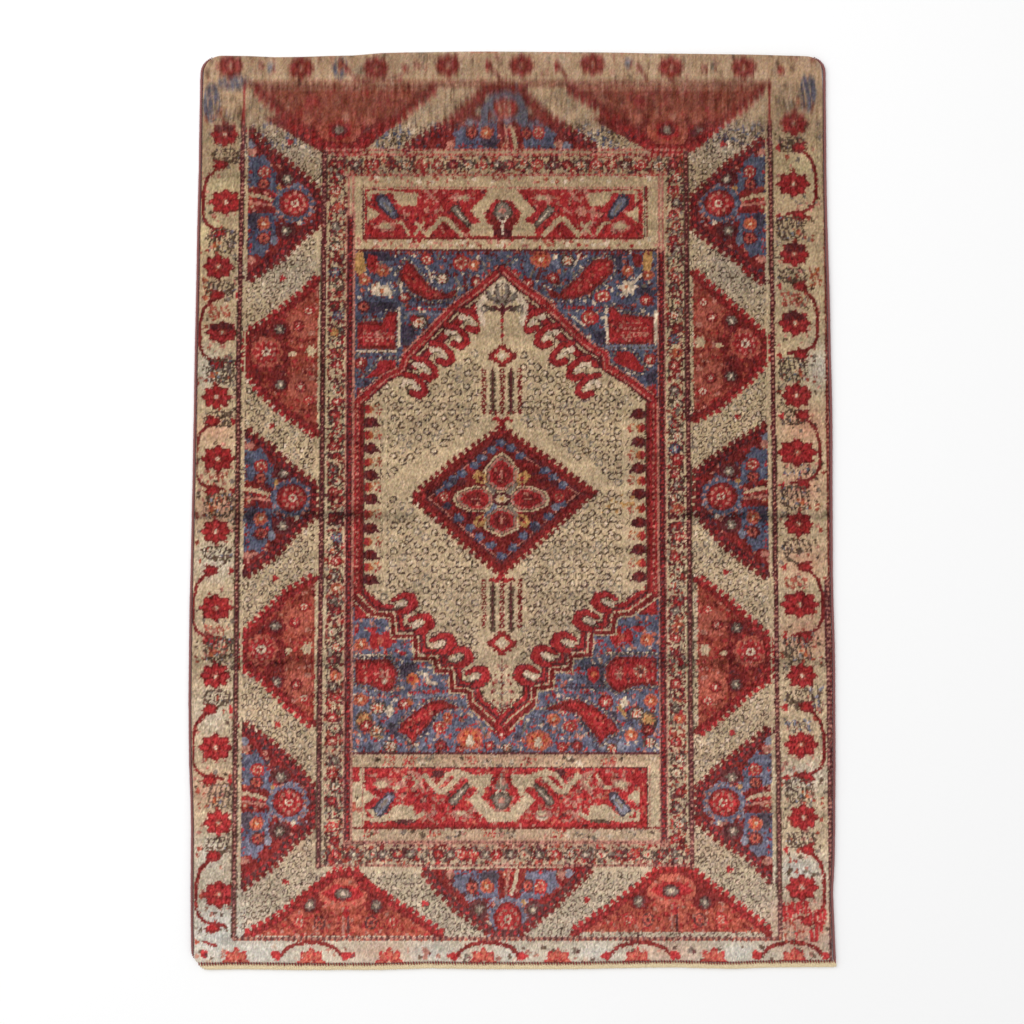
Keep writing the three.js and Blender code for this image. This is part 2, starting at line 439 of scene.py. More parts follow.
def outer_border(pen):
    for left, right in ((-606, -534), (514, 600)):
        pen.flecks(("umber", "brick", "grey", "rose"), 0.16, 10, left, -836, right, 740)
    for wool, x, y, wide, high in rows(FEATHERS):
        feather(pen.at(x, y), wool, wide, high)
    for wool, vine, x, y, wide, high in rows(SIDE_ROSETTES):
        here = pen.at(x, y, 0, 1 if x > 0 else -1)
        if vine == "looped":
            patch = ("grey", "sky", "tan", "rose") if y % 3 == 1 else ("rose", "salmon", "tan", "brick")
            here.speckle(patch, 0.3, 8, -24, -50, 30, -50, 34, -14, -24, -14)
            here.draw(LOOP)
            wide += 8
        else:
            hatched(here.at(-6, 50), 58, 46)
            hatched(here.at(-4, -42), 56, 28)
            here.draw(SPRAYS)
        rosette(here, wide, high, wool)
    for bottom, top in ((824, 884), (-872, -838)):
        pen.flecks(("rose", "cream", "umber", "tan"), 0.3, 11, -610, bottom, 610, top)
    for x, y in END_ROSETTES:
        rosette(pen.at(x, y), 50, 42 if y > 0 else 54, "red" if y > 0 else "faded")
    for wool, x, y, wide, high in rows(END_LEAVES):
        pen.dot(wool, x, y, wide, high, 3, 0.25)
        pen.dot("maroon", x + 5, y - 3, 6, 8)
    pen.draw(END_VINES)
    for x in (-380, -46, 243, 530):
        for side in (-1, 1):
            arc = pen.at(x, -831, 0, side)
            arc.line("madder", (8, 7), 0, 0, 24, -3, 44, -10, 58, -24)
            arc.dot("red", 66, -26, 22, 18, 3, 0.25)
    pen.draw(EDGE_LINES)
    for x, y in CORNER_LEAVES:
        leaf = pen.at(x, y)
        leaf.fill("red", -7, -12, 7, -12, 9, 8, 3, 12, 0, 3, -4, 12, -9, 8)
        leaf.line("rose", 2.4, 0, -12, 0, 2)
    pen.flecks(("brick", "grey", "rose", "red", "tan"), 0.7, 8, 512, -835, 562, -788)


def feather(pen, wool, wide, high):
    """A leaf of one wool, with slanting ribs."""
    w, h = wide / 2, high / 2
    share = 0.9
    if wool == "indigo":
        share = 0.3
        pen.dot("navy", 0, 0, wide + 6, high + 6)
        pen.dot(wool, 0, 0, wide, high)
    pen.flecks((wool, wool, "tan", wool, "rose"), share, 8, -w, -h, w, h)
    for a in np.arange(6 - w, w, 11):
        pen.line("dark" if wool in ("sky", "grey", "indigo") else "brick", 2.3, a - 4, h - 3, a + 5, 3 - h)


def hatched(pen, wide, high):
    """A spray of short dark strokes."""
    w, h = wide / 2, high / 2
    pen.flecks(("grey", "dark", "umber", "dark", "sky"), 0.5, 6.5, -w, -h, w, h)
    ring = np.reshape((-1, -0.3, -0.4, 1, 0.6, 0.9, 1, 0, 0.5, -0.8, -0.5, -1, -1, -0.3), (-1, 2)) * (w, h)
    pen.line("umber", 2.6, *ring.ravel())
    for a in np.arange(6 - w, w, 9):
        pen.line("dark", 2.6, a - 4, h - 2, a, 0)
        pen.line("umber", 2.6, a, -3, a + 5, 3 - h)


# The thin dotted stripes between the borders
GUARDS = """
line umber 10 -527,-822 -528,300 -523,745
stripe maroon 8 rose 4.4 9 -527,-822 -528,300 -523,745
line umber 10 508,-824 505,0 502,745
stripe maroon 8 rose 4.4 9 508,-824 505,0 502,745
line red 5 -523,745 -522,818
line red 5 502,745 502,818
stripe madder 7 brick 6 11 -522,819 502,819
stripe brick 7 maroon 8 11 -527,-824 508,-824
studs rose 6 11 -527,-824 508,-824
line tan 3 -517,-812 -518,0 -514,812
line tan 3 497,-812 493,812
"""

# The main border's triangles: each one's wool, the way its point looks, its base's middle, its corners
TRIANGLES = """
red down -335,812 -500,812 -470,780 -410,730 -360,697 -310,692 -267,725 -230,745 -150,812
red down 303,812 110,812 190,760 230,730 280,690 342,690 405,740 455,780 490,812
blue up -16,692 -208,692 -184,706 -122,744 -81,782 -64,800 -49,812 19,812 42,776 98,735 163,692
blue right -513,578 -512,730 -475,690 -435,660 -390,620 -370,592 -370,548 -405,522 -447,480 -495,447
  -512,435
blue left 493,578 492,710 425,662 370,612 350,595 350,540 390,507 437,475 490,427
red left -374,288 -374,440 -405,407 -455,367 -505,332 -515,320 -515,265 -490,222 -449,185 -409,156
  -376,132
red right 350,305 350,452 410,395 460,352 492,320 492,282 455,237 397,187 350,160
blue right -514,5 -514,140 -466,109 -428,70 -392,44 -378,34 -378,-20 -420,-56 -454,-96 -487,-120 -514,-138
blue left 494,8 494,151 432,116 387,84 355,60 355,-15 399,-68 447,-108 492,-140
red left -378,-284 -378,-140 -432,-172 -482,-220 -514,-250 -516,-310 -478,-334 -428,-384 -378,-424
red right 355,-288 356,-143 413,-186 456,-227 487,-253 495,-290 495,-330 451,-360 399,-405 355,-438
blue right -516,-575 -516,-420 -463,-455 -414,-500 -375,-547 -375,-610 -419,-645 -462,-692 -516,-730
blue left 494,-575 492,-430 434,-476 392,-508 353,-545 353,-600 397,-639 450,-668 495,-720
red up -315,-818 -505,-818 -446,-787 -383,-739 -333,-700 -296,-700 -280,-724 -197,-774 -130,-818
red up 308,-812 115,-812 177,-774 250,-721 284,-692 335,-692 382,-729 432,-766 488,-812
blue down -14,-696 -168,-696 -141,-731 -104,-768 -66,-793 -35,-818 9,-818 40,-793 81,-759 150,-690
"""

WAYS = {"up": (0, 1), "down": (0, -1), "left": (-1, 0), "right": (1, 0)}

# The tan bands between them, as boxes
BANDS = (
    (-516, 565, -360, 820), (-516, 290, -374, 565), (-516, 10, -374, 290), (-516, -285, -374, 10),
    (-516, -575, -374, -285), (-516, -820, -374, -575), (330, 565, 496, 820), (346, 290, 496, 565),
    (346, 20, 496, 290), (346, -285, 496, 20), (346, -575, 496, -285), (346, -820, 496, -575),
    (-360, 694, -20, 820), (-20, 694, 330, 820), (-374, -820, -20, -694), (-20, -820, 346, -694),
)
# A small red spot in each tan band
RED_DOTS = (
    (-445, 437), (-463, 151), (-454, -143), (-447, -422), (434, 168), (410, -131), (413, -695), (-430, -718),
    (-166, -759), (142, -752), (-432, 705), (410, 701), (420, -437), (452, 452),
)


def triangle(pen, wool, way, base, corners):
    """One triangle: its field and flowers, and a toothed band round it."""
    out = WAYS[way]
    flowers = Pen(pen.cartoon, base, out, (abs(out[1]), abs(out[0])))
    if wool == "red":
        band, teeth = "madder", "red"
        pen.fill("brick", *corners)
        pen.speckle(("red", "madder", "salmon", "rose", "red", "salmon", "madder"), 0.8, 8, *corners)
        flowers.draw({"down": TOP_FLOWERS, "up": FOOT_FLOWERS}.get(way, RED_FLOWERS))
    else:
        band, teeth = "maroon", "madder"
        pen.fill("madder", *corners)
        pen.speckle(("maroon", "red", "navy", "rose", "madder"), 0.5, 9, *corners)
        flowers.draw(BLUE_FLOWERS)
    pen.line(band, 13, *nudged(corners, -4))
    pen.beads(teeth, 10.5, 14.5, *nudged(corners, 6))
    pen.studs("red", 7, 14.5, *nudged(corners, -4))


# What grows in a triangle: "a" runs from its base to its point, and "b" along its base
BLUE_FLOWERS = """
beads brick 12 20 8,-110 8,110
beads tan 5 20 8,-110 8,110
fill blue 0,100 30,92 56,66 50,36 0,40
fill indigo 0,-14 50,-14 56,-60 30,-92 0,-96
speckle maroon/navy/sky/red 0.6 8 0,100 30,92 56,66 50,36 0,40
speckle maroon/navy/sky/red/madder 0.75 8 0,-14 50,-14 56,-60 30,-92 0,-96
line tan 7 0,24 26,20 46,12
beads red 6 12 0,16 54,8
line rose 5 0,8 50,2
dot blue 90,6 84 78 10 0.12
beads rose 7 13 54,20 68,38 92,42 116,34 126,6 118,-20 92,-30 66,-24 54,-4
flecks sky/indigo/blue 0.7 8 52,-34 128,44
dot madder 90,6 60 54
dot red 91,6 54 48 8 0.2
beads rose 7 12 76,18 92,26 108,18 110,0 92,-12 76,-4 76,18
dot cream 92,6 16 14
dot red 92,6 7 7
dot blue 24,84 40 40 5 0.3
dot blue 24,-80 40 40 5 0.3
dot navy 14,-28 26 34
dot blue 46,40 30 20 5
flower salmon 31,68 27
flower ring 30,44 26
flower orange 31,-34 27
flower ring 32,-62 28
dot maroon 76,56 40 30
flower grey 76,54 27
dot maroon 74,-48 42 32
flower grey 74,-48 27
dot cream 100,-32 10
dot gold 60,36 10
dot rose 8,108 18 14
dot rose 8,-104 18 14
dot sky 6,122 16
dot sky 52,-66 14 20
"""
FOOT_FLOWERS = """
fill madder 56,-110 122,-24 122,24 56,100
dot salmon 78,-5 62 92
speckle brick/red/salmon/rose 0.6 8 60,-40 96,-40 104,-5 96,32 60,32 50,-5
fill red 78,-48 94,-20 94,10 78,38 62,10 62,-20
dot maroon 77,-6 24 34
dot grey 77,-6 17 26
dot cream 77,-6 7 12
dot madder 57,-66 30 44
flower grey 57,-68 26
dot madder 55,58 30 44
flower grey 55,58 26
flower ring 23,-50 26
flower ring 23,48 26
flower salmon 24,-88 24
flower salmon 24,88 24
line rose 5 4,-4 50,-4
line maroon 4 4,4 46,4
dot red 40,0 16 12
"""
TOP_FLOWERS = """
fill madder 60,-150 130,-30 130,40 60,120
speckle brick/maroon/red 0.6 9 50,-140 122,-30 122,40 50,110
dot salmon 84,0 76 80
dot brick 82,0 64 66
dot red 84,0 40 50 6 0.2
dot maroon 84,-1 22 32
dot grey 83,-1 16 16
dot red 29,-53 24 24
dot salmon 62,-60 22 28
dot salmon 64,55 18 30
dot maroon 90,-66 24 36
dot maroon 88,62 24 36
dot grey 84,62 10 12
dot rose 58,10 14 20 3
dot brick 30,40 30 60
"""
RED_FLOWERS = """
fill madder 60,40 110,54 132,20 132,-20 110,-56 58,-36
speckle red/maroon/brick 0.55 9 60,40 110,54 132,20 132,-20 110,-56 58,-36
dot salmon 101,5 66 62 10 0.12
dot red 101,5 54 50 8 0.2
beads rose 6 12 86,18 101,26 116,18 118,-2 101,-14 86,-6 86,18
dot cream 101,5 18 16
dot madder 101,5 8 8
dot madder 74,-56 44 34
flower grey 73,-58 26
dot madder 74,50 42 34
flower grey 75,50 25
fill madder 40,8 66,22 66,-22
dot tan 50,2 14 10
dot salmon 30,60 58 56 8 0.1
dot salmon 30,-62 58 56 8 0.1
flower red 38,56 24
flower red 34,-62 24
flower salmon 20,86 20
flower salmon 18,-88 20
dot tan 14,8 22 26 6
beads madder 6 10 4,30 34,26
beads rose 5 10 4,-28 34,-30
dot rose 12,42 14 10
dot rose 12,-44 14 10
"""


def nudged(points, off):
    """Points moved sideways, away from their middle."""
    points = np.reshape(points, (-1, 2)).astype(float)
    step = np.gradient(points, axis=0)
    side = np.stack([-step[:, 1], step[:, 0]], -1) / np.hypot(*step.T)[:, None]
    middle = points.mean(0)
    away = np.sign(((points - middle) * side).sum(1))[:, None]
    return (points + side * off * away).ravel()


def main_border(pen):
    for box in BANDS:
        pen.scrolls(SMALL_SCROLLS, 19, 10.5, *rectangle(*box))
    for left, right in ((-516, -330), (-270, 210), (330, 496)):
        pen.flecks(("navy", "dark", "sky", "cream", "umber", "indigo"), 0.75, 7, left, 692, right, 742)
    for wool, way, x, y, *corners in rows(TRIANGLES):
        triangle(pen, wool, way, (x, y), corners)
    pen.line("blue", 13, -54, 744, -54, 772, -36, 794, -12, 800, 10, 792, 24, 768, 24, 744)
    pen.flower("salmon", -14, 768, 40)
    for x, y in RED_DOTS:
        pen.dot("red", x, y, 15, 12, 3)


# The narrow border between the inner guards: its four sides, and each side's flowers with their places
NARROW_SIDES = (
    (-356, -690, -322, 686), (300, -690, 332, 682), (-356, 642, 332, 682), (-360, -684, 335, -648),
)
NARROW_LEFT = """
maroon 662  grey 635  salmon 610  salmon 575  grey 540  tan 518  cream 500  maroon 475  blue 450  tan 427
maroon 385  blue 365  gold 332  tan 310  maroon 287  red 268  tan 227  red 196  maroon 173  tan 135
red 111  maroon 90  grey 66  tan 44  red 23  maroon 7  maroon -27  blue -65  cream -89  red -110
grey -140  orange -162  grey -185  maroon -205  tan -246  cream -274  maroon -298  orange -329  grey -350
red -370  red -408  tan -429  red -453  grey -490  red -515  cream -540  maroon -565  tan -590
salmon -615  maroon -640
"""
NARROW_RIGHT = """
maroon 660  cream 635  salmon 610  grey 585  red 560  cream 536  maroon 513  grey 495  tan 472  salmon 440
grey 420  tan 390  cream 365  maroon 340  blue 318  orange 292  red 268  red 250  grey 220  tan 192
maroon 154  cream 130  blue 106  red 88  red 58  grey 35  cream 12  orange -10  maroon -44  red -65
red -103  tan -127  cream -155  maroon -184  grey -205  orange -236  red -258  maroon -284  red -303
tan -322  red -343  maroon -364  grey -391  orange -410  red -455  cream -485  tan -513  maroon -550
grey -580  cream -610  red -636  maroon -660
"""
NARROW_TOP = """
maroon -335  grey -305  salmon -270  maroon -235  cream -205  salmon -176  red -146  maroon -114
cream -85  salmon -58  grey -30  maroon -5  cream 22  salmon 50  grey 78  maroon 107  cream 135
salmon 163  red 192  grey 220  salmon 250  cream 285
"""
NARROW_BOTTOM = """
maroon -335  grey -300  tan -270  grey -245  maroon -217  grey -194  tan -171  maroon -140  grey -118
salmon -97  salmon -74  grey -50  red -30  grey -3  tan 24  grey 52  red 82  cream 110  grey 140  tan 170
maroon 203  salmon 231  tan 258  maroon 283  grey 312
"""

# The guards round it
NARROW_GUARDS = """
line umber 11 -364,686 -368,-690
stripe maroon 8 rose 4 10 -364,686 -368,-690
line umber 11 338,682 342,-690
stripe maroon 8 rose 4 10 338,682 342,-690
line rose 17 -313,565 -313,-645
stripe maroon 11 red 5 9 -313,565 -313,-645
line rose 17 289,495 289,-645
stripe maroon 11 red 5 9 289,495 289,-645
line rose 13 -313,640 -313,565
line tan 4 -313,640 -313,565
line rose 13 289,640 289,495
line tan 4 289,640 289,495
stripe rose 5 red 4.5 11 -360,690 335,690
stripe rose 5 red 4.5 11 -345,680 322,680
stripe rose 5 red 4.5 11 -320,640 300,640
stripe rose 5 maroon 4.5 11 -320,-644 300,-644
stripe rose 5 maroon 4.5 11 -370,-687 345,-687
"""


def placed(table):
    """The flowers of a side, each one's kind and place."""
    words = table.split()
    return [(kind, float(place)) for kind, place in zip(words[::2], words[1::2])]


def narrow_border(pen):
    for box in NARROW_SIDES:
        pen.flecks(("maroon", "madder", "brick", "umber", "grey", "rose", "madder"), 1.0, 8, *box)
        pen.flecks(("madder", "brick", "maroon"), 0.5, 9, *box)
    for table, x in ((NARROW_LEFT, -340), (NARROW_RIGHT, 316)):
        for number, (kind, y) in enumerate(placed(table)):
            sway = 3 if number % 2 else -3
            pen.flower(kind, x + sway, y, 23, 20)
            pen.line("dark", 2.4, x - sway * 4, y + 9, x - sway * 5, y - 8)
            pen.dot("maroon", x + sway * 4.5, y - 11, 6)
    for table, y in ((NARROW_TOP, 660), (NARROW_BOTTOM, -667)):
        for kind, x in placed(table):
            pen.flower(kind, x, y, 24, 20)
            pen.line("dark", 2.4, x + 12, y + 9, x + 15, y - 8)
    for box in NARROW_SIDES:
        pen.flecks(("maroon", "dark", "red", "tan", "brick", "grey"), 0.34, 8.5, *box)
    pen.draw(NARROW_GUARDS)


# The field. The edges of the medallion's two points, each from its foot to its tip
UPPER_LEFT = (-300, 192, -242, 245, -212, 258, -205, 283, -183, 305, -154, 336, -113, 379, -67, 413, -19, 455)
UPPER_RIGHT = (
    272, 200, 231, 234, 181, 265, 179, 288, 149, 304, 131, 320, 90, 361, 58, 393, 13, 425, -19, 455,
)
LOWER_LEFT = (
    -300, -165, -260, -205, -223, -206, -219, -246, -178, -246, -176, -288, -140, -290, -137, -312,
    -109, -313, -107, -350, -75, -352, -72, -376, -39, -405, -19, -424,
)
LOWER_RIGHT = (
    272, -165, 220, -203, 190, -206, 186, -239, 145, -240, 142, -282, 106, -284, 104, -309, 70, -311,
    68, -343, 36, -346, 34, -376, 0, -403, -19, -424,
)

# The feet of the hooks along the medallion's edge
UPPER_HOOKS = ((-100, 376), (-128, 346), (-156, 312), (-188, 283), (-208, 250))
UPPER_HOOKS_RIGHT = ((62, 376), (88, 346), (118, 312), (150, 283), (168, 249))
LOWER_HOOKS = ((-220, -210), (-188, -249), (-146, -287), (-113, -313), (-80, -350))
LOWER_HOOKS_RIGHT = ((192, -208), (156, -243), (114, -285), (76, -311), (42, -347))


# A hook's shape, from its foot to its tip
UPPER_HOOK = """
line maroon 13:15 0,0 20,-4 37,-20 41,-34 30,-41 15,-36
line red 9:12 0,0 20,-4 37,-20 41,-34 30,-41 15,-36
line cream 11:8 2,-14 16,-17 25,-28
line umber 2.4 6,-34 8,-18 18,-20
"""
LOWER_HOOK = """
line maroon 12:21 4,2 20,6 32,18
line maroon 21:10 32,18 28,31 12,35 -8,25
line red 8:17 4,2 20,6 32,18
line red 17:6 32,18 28,31 12,35 -8,25
line cream 9:6 0,14 12,19 16,23
line umber 2.4 -10,10 2,9 14,14
"""


# The scrolls on the medallion's ground: how far apart, and the patches they fill
SCROLL_PATCHES = """
31.5 -290,225 -235,235 -100,270 -70,300 -62,300 -62,160 -262,30 -290,30
26 35,300 70,270 200,230 255,205 255,30 210,30 24,160 24,300
31.5 -290,30 -190,12 -62,-90 -62,-300 -95,-300 -235,-190 -290,-170
26 255,30 160,24 24,-90 24,-300 60,-300 190,-190 255,-170
"""

# The lines along the medallion's lower edges: how far off, and each line's wool and width
LOWER_LINES = (
    (0, "red", 28), (-7, "madder", 10), (-2, "tan", 3), (3, "maroon", 5), (-12, "tan", 2.6),
    (12, "maroon", 3),
)


def backwards(points):
    """The same points from the last to the first."""
    return np.reshape(points, (-1, 2))[::-1].ravel()


def medallion_outline(pen):
    pen.fill("tan", *UPPER_LEFT, *backwards(UPPER_RIGHT), *LOWER_RIGHT, *backwards(LOWER_LEFT))
    for pitch, *patch in rows(SCROLL_PATCHES):
        pen.scrolls(SCROLLS, pitch, 12.4, *patch)
    for points, across in ((UPPER_LEFT, 1), (UPPER_RIGHT, -1)):
        inner = points[6:-2]
        pen.at(15 * across, -15).line("maroon", 24, *inner)
        pen.at(17 * across, -18).line("red", 11, *inner)
        pen.at(9 * across, -9).line("tan", 3.4, *inner)
        pen.line("maroon", 20, *points)
        pen.line("red", 13, *points)
        pen.at(-7 * across, 6).line("rose", 2.5, *points)
        pen.at(2 * across, -2).line("rose", 2.5, *points)
    for points, across in ((LOWER_LEFT, 1), (LOWER_RIGHT, -1)):
        for off, wool, width in LOWER_LINES:
            pen.at(off * across, off).line(wool, width, *points)
    for feet, across, hook in (
        (UPPER_HOOKS, 1, UPPER_HOOK), (UPPER_HOOKS_RIGHT, -1, UPPER_HOOK),
        (LOWER_HOOKS, 1, LOWER_HOOK), (LOWER_HOOKS_RIGHT, -1, LOWER_HOOK),
    ):
        for x, y in feet:
            pen.at(x, y, 0, across).draw(hook)


def medallion(pen):
    medallion_outline(pen)
    comb_sides(pen)
    for bottom, top, base in ((178, 262, 176), (-240, -151, -147)):
        for x in (-54, -19, 15):
            pen.beads("madder", 10, 11, x, bottom, x, top)
            pen.beads("tan", 3.5, 11, x, bottom, x, top)
        for x in (-37, -2):
            pen.studs("umber", 12, 11, x, bottom, x, top)
            pen.studs("tan", 4, 11, x, bottom, x, top)
            pen.line("maroon", 3, x, bottom, x, top)
        pen.beads("madder", 7, 12, -60, base, 22, base)
    trees(pen)
    diamond(pen)


# The lines of the medallion's upright sides: each one's wool, width and place
COMB_LINES = """
maroon 14 -313
rose 3 -305
red 12 -297
rose 2.5 -298
madder 7 -288
umber 3 -285
maroon 14 289
rose 3 281
red 13 272
rose 2.5 274
madder 8 261
umber 3 258
"""

# Their teeth, from each one's own place on the side
SMALL_TOOTH = """
dot orange 9,0 18 17 5 0.2
dot red 5,0 10 18
beads orange 4.5 7 18,6 30,9
beads red 4.5 7 20,-5 32,-7
dot salmon 30,0 9 7
"""
TOOTH = """
dot maroon 12,0 28 22
dot madder 14,1 20 14
line maroon 10:4 18,0 30,-7
line dark 2.4 30,8 36,-4
"""


def comb_sides(pen):
    """The medallion's upright sides, with teeth that point inwards."""
    for wool, width, x in rows(COMB_LINES):
        pen.line(wool, width, x, 192, x, -168)
    for x in (-297, 272):
        pen.beads("madder", 7, 11, x, 190, x, -165)
        pen.studs("rose", 3.5, 11, x, 190, x, -165)
    for x, across, teeth, small in (
        (-284, 1, (157, 107, 55, 9, -47, -99, -146), (182, 132, 80, 32, -20, -73, -122)),
        (256, -1, (173, 119, 69, 19, -36, -88, -140), (146, 94, 44, -9, -62, -114)),
    ):
        side = pen.at(x, 0, 0, across)
        side.box("tan", 2, -165, 44, 190)
        for y in small:
            side.at(0, y).draw(SMALL_TOOTH)
        for y in teeth:
            side.at(0, y).draw(TOOTH)
    pen.flecks(("gold",), 0.4, 9, 163, -20, 238, 21)


# The stem in the upper point, and one of its two sprays of leaves
STEM = """
fill tan -48,372 -40,400 0,440 40,400 48,372 40,330 -40,330
line cream 12:16 -38,350 -44,385 -20,412 0,428
line cream 12:16 38,350 44,385 20,412 0,428
line dark 4 0,430 0,376
line maroon 9 0,392 0,368
"""
LEAVES = """
line grey 11:7 4,392 10,410 8,424
line grey 11:7 6,390 22,398 27,410
line dark 3.5 5,390 15,408 12,424
line dark 3 8,390 28,398 30,410
line maroon 6 3,374 18,382
line dark 9 18,376 36,382
dot grey 35,377 15 13
dot cream 35,377 6 5
"""


def trees(pen):
    """The flowering stems inside the medallion's two points."""
    tree = pen.at(-19, 0)
    tree.draw(STEM)
    for side in (-1, 1):
        tree.at(0, 0, 0, side).draw(LEAVES)
    tree.line("madder", 4, 0, 370, 0, 312)
    tree.beads("red", 8, 15, 0, 362, 0, 318)
    tree.line("madder", 3.5, 0, -300, 0, -410)
    for b, wide in ((-318, 12), (-345, 18), (-365, 24), (-388, 14)):
        tree.dot("madder", 0, b, 9, 9)
        for side in (-1, 1):
            tree.line("grey", 3.5, 0, b, side * wide * 0.6, b + 7)
            tree.dot("rose", side * wide * 0.65, b + 7, 7)
    for b, wide in ((-328, 22), (-344, 30), (-360, 36), (-376, 30), (-390, 18)):
        for wool, a in (("umber", -wide), ("madder", -wide * 0.55), ("madder", wide * 0.55), ("umber", wide)):
            tree.dot(wool, a, b, 6, 7)
    for b, high in ((286, 44), (-267, 48)):
        for size, wool in ((1.0, "madder"), (0.85, "red"), (0.55, "tan"), (0.3, "cream")):
            tree.fill(wool, 0, b + high * size * 0.5, 29 * size, b, 0, b - high * size * 0.5, -29 * size, b)
        tree.beads("madder", 8, 12, -28, b, 0, b + high * 0.5, 28, b, 0, b - high * 0.5, -28, b)


LOZENGE = (
    -189, 12, -150, 46, -104, 84, -60, 116, -20, 145, 20, 116, 66, 86, 112, 52, 156, 22, 112, -14, 66, -56,
    20, -96, -21, -133, -60, -100, -104, -62, -148, -22,
)
BLUE_PATCHES = (
    (-22, 118), (-38, 104), (-58, 88), (-2, 108), (16, 92), (-72, 74), (-112, 48), (-96, 58), (-124, 36),
    (64, 64), (80, 50), (98, 36), (-103, -27), (-80, -46), (-62, -64), (-40, -80), (-20, -100), (2, -84),
    (22, -62), (44, -42), (70, -24),
)
LOZENGE_SPOTS = """
dot navy -125,-4 18 14
dot blue -138,22 18 14
dot navy 45,-47 18 14
dot sky 84,-6 18 14
dot blue 96,0 18 14
dot navy -112,44 18 14
dot maroon 82,40 18 14
dot maroon -96,42 18 14
flower salmon -131,14 24
flower salmon 90,14 24
"""
LOZENGE_HEART = """
dot maroon -20,9 36 28
dot tan -20,9 26 18 6
dot gold -20,9 10 8
"""


def shrunk(points, share, middle):
    """Points drawn in towards a middle."""
    return (share * (np.reshape(points, (-1, 2)) - middle) + middle).ravel()


def diamond(pen):
    """The lozenge in the middle of the medallion, with four petals."""
    ring = (*LOZENGE, *LOZENGE[:2])
    pen.fill("madder", *LOZENGE)
    pen.speckle(("maroon", "red", "maroon", "madder"), 0.6, 9, *LOZENGE)
    pen.line("madder", 10, *nudged(ring, -3))
    pen.beads("madder", 10, 14.5, *nudged(ring, 6))
    pen.beads("red", 6, 14.5, *ring)
    pen.line("maroon", 5, *shrunk(ring, 0.86, (-18, 8)))
    pen.line("rose", 2.6, *shrunk(ring, 0.83, (-18, 8)))
    for x, y in BLUE_PATCHES:
        pen.dot("indigo", x, y, 22, 17, 5, 0.2)
        pen.dot("sky", x + 3, y + 2, 9)
    pen.draw(LOZENGE_SPOTS)
    for turn, tip, half in ((0, 88, 34), (90, 92, 25), (180, 72, 34), (270, 92, 25)):
        petal = pen.at(-20, 9, turn)
        side = np.array((-9, 12, -half, 30, -half, 58, -14, tip - 6))
        outline = (*side, 0, tip + 2, *(backwards(side) * np.tile((-1, 1), 4)))
        petal.fill("tan", *outline)
        for size, wool in ((0.88, "umber"), (0.82, "rose"), (0.73, "grey"), (0.68, "red"), (0.5, "madder")):
            petal.fill(wool, *shrunk(outline, size, (0, tip / 2 + 4)))
        petal.flecks(("maroon", "red", "rose", "red"), 0.5, 8, -14, 30, 14, tip - 20)
        petal.line("rose", 4, 0, tip / 2 - 4, 0, tip / 2 + 10)
        for side in (-1, 1):
            petal.at(0, 0, 45 * side, side).line("gold", (3, 8), 2, 44, 8, 56, 4, 68)
    for turn, wool in ((45, "grey"), (135, "sky"), (225, "grey"), (315, "grey")):
        pen.at(-20, 9, turn).line(wool, (9, 4), 0, 18, 0, 44)
    pen.draw(LOZENGE_HEART)
    for side in (-1, 1):
        pen.at(-20, 150, 0, side).line("red", (9, 5), 0, 4, 10, 16, 20, 10)
        pen.at(-20, -134, 0, side).line("red", (9, 5), 0, -2, 10, -14, 20, -10)
    pen.line("cream", 4, -20, 156, -20, 172)
    pen.beads("red", 12, 13, -20, 150, -20, 164)


# What grows on the blue ground about the medallion, as rows for Pen.draw
SPANDREL_UPPER_LEFT = """
box navy -288,472 -228,490
line gold 14:22 -296,486 -294,456
mottled red -278,486 -262,480 -254,456 -268,444 -282,460
flower orange -250,452 26
flower orange -286,434 24
dot cream -262,416 26 30 5
dot cream -240,414 28 32 5
dot orange -252,412 8
dot orange -266,424 6
box navy -280,370 -222,392
flower ring -287,382 26
trimmed madder -300,300 -226,300 -222,372 -240,372 -250,354 -300,352
mottled red -298,306 -230,306 -226,366 -238,366 -250,348 -298,346
beads rose 6 10 -290,330 -240,330
beads rose 6 10 -285,316 -245,316
line rose 3 -292,322 -240,322
line cream 5 -300,294 -222,294
beads dark 4 8 -300,294 -222,294
line cream 5 -219,370 -219,305
fill navy -214,350 -186,340 -186,306 -214,306
flower cream -180,352 34 28
dot red -191,360 14 16
trimmed red -284,243 -262,262 -256,278 -226,279 -226,264 -252,246
flower red -292,272 26
fill navy -300,232 -262,238 -240,240 -262,226
mottled red -300,226 -280,226 -272,206 -300,200
beads red 7 9 -205,377 -128,377
line sky 4 -205,368 -128,368
trimmed madder -222,443 -204,474 -186,456 -160,420 -128,408 -106,416 -116,398 -160,394 -190,408
mottled red -216,443 -204,466 -190,452 -166,420 -140,406 -120,406 -160,400 -188,414
beads salmon 6 16 -204,452 -180,420 -140,402
flower red -208,400 24
line cream 4 -172,470 -160,448 -156,430
flower cream -135,436 26
flower salmon -99,468 34
flower orange -74,463 24
flower salmon -165,474 24
line grey 4 -110,440 -96,412
line maroon 6 -92,440 -88,412
line grey 4 -56,470 -50,450
flower red -70,430 22
line sky 5 -240,430 -226,404
line cream 4 -216,424 -212,400
beads red 7 12 -60,440 -28,462
beads madder 6 10 -240,486 -30,486
"""
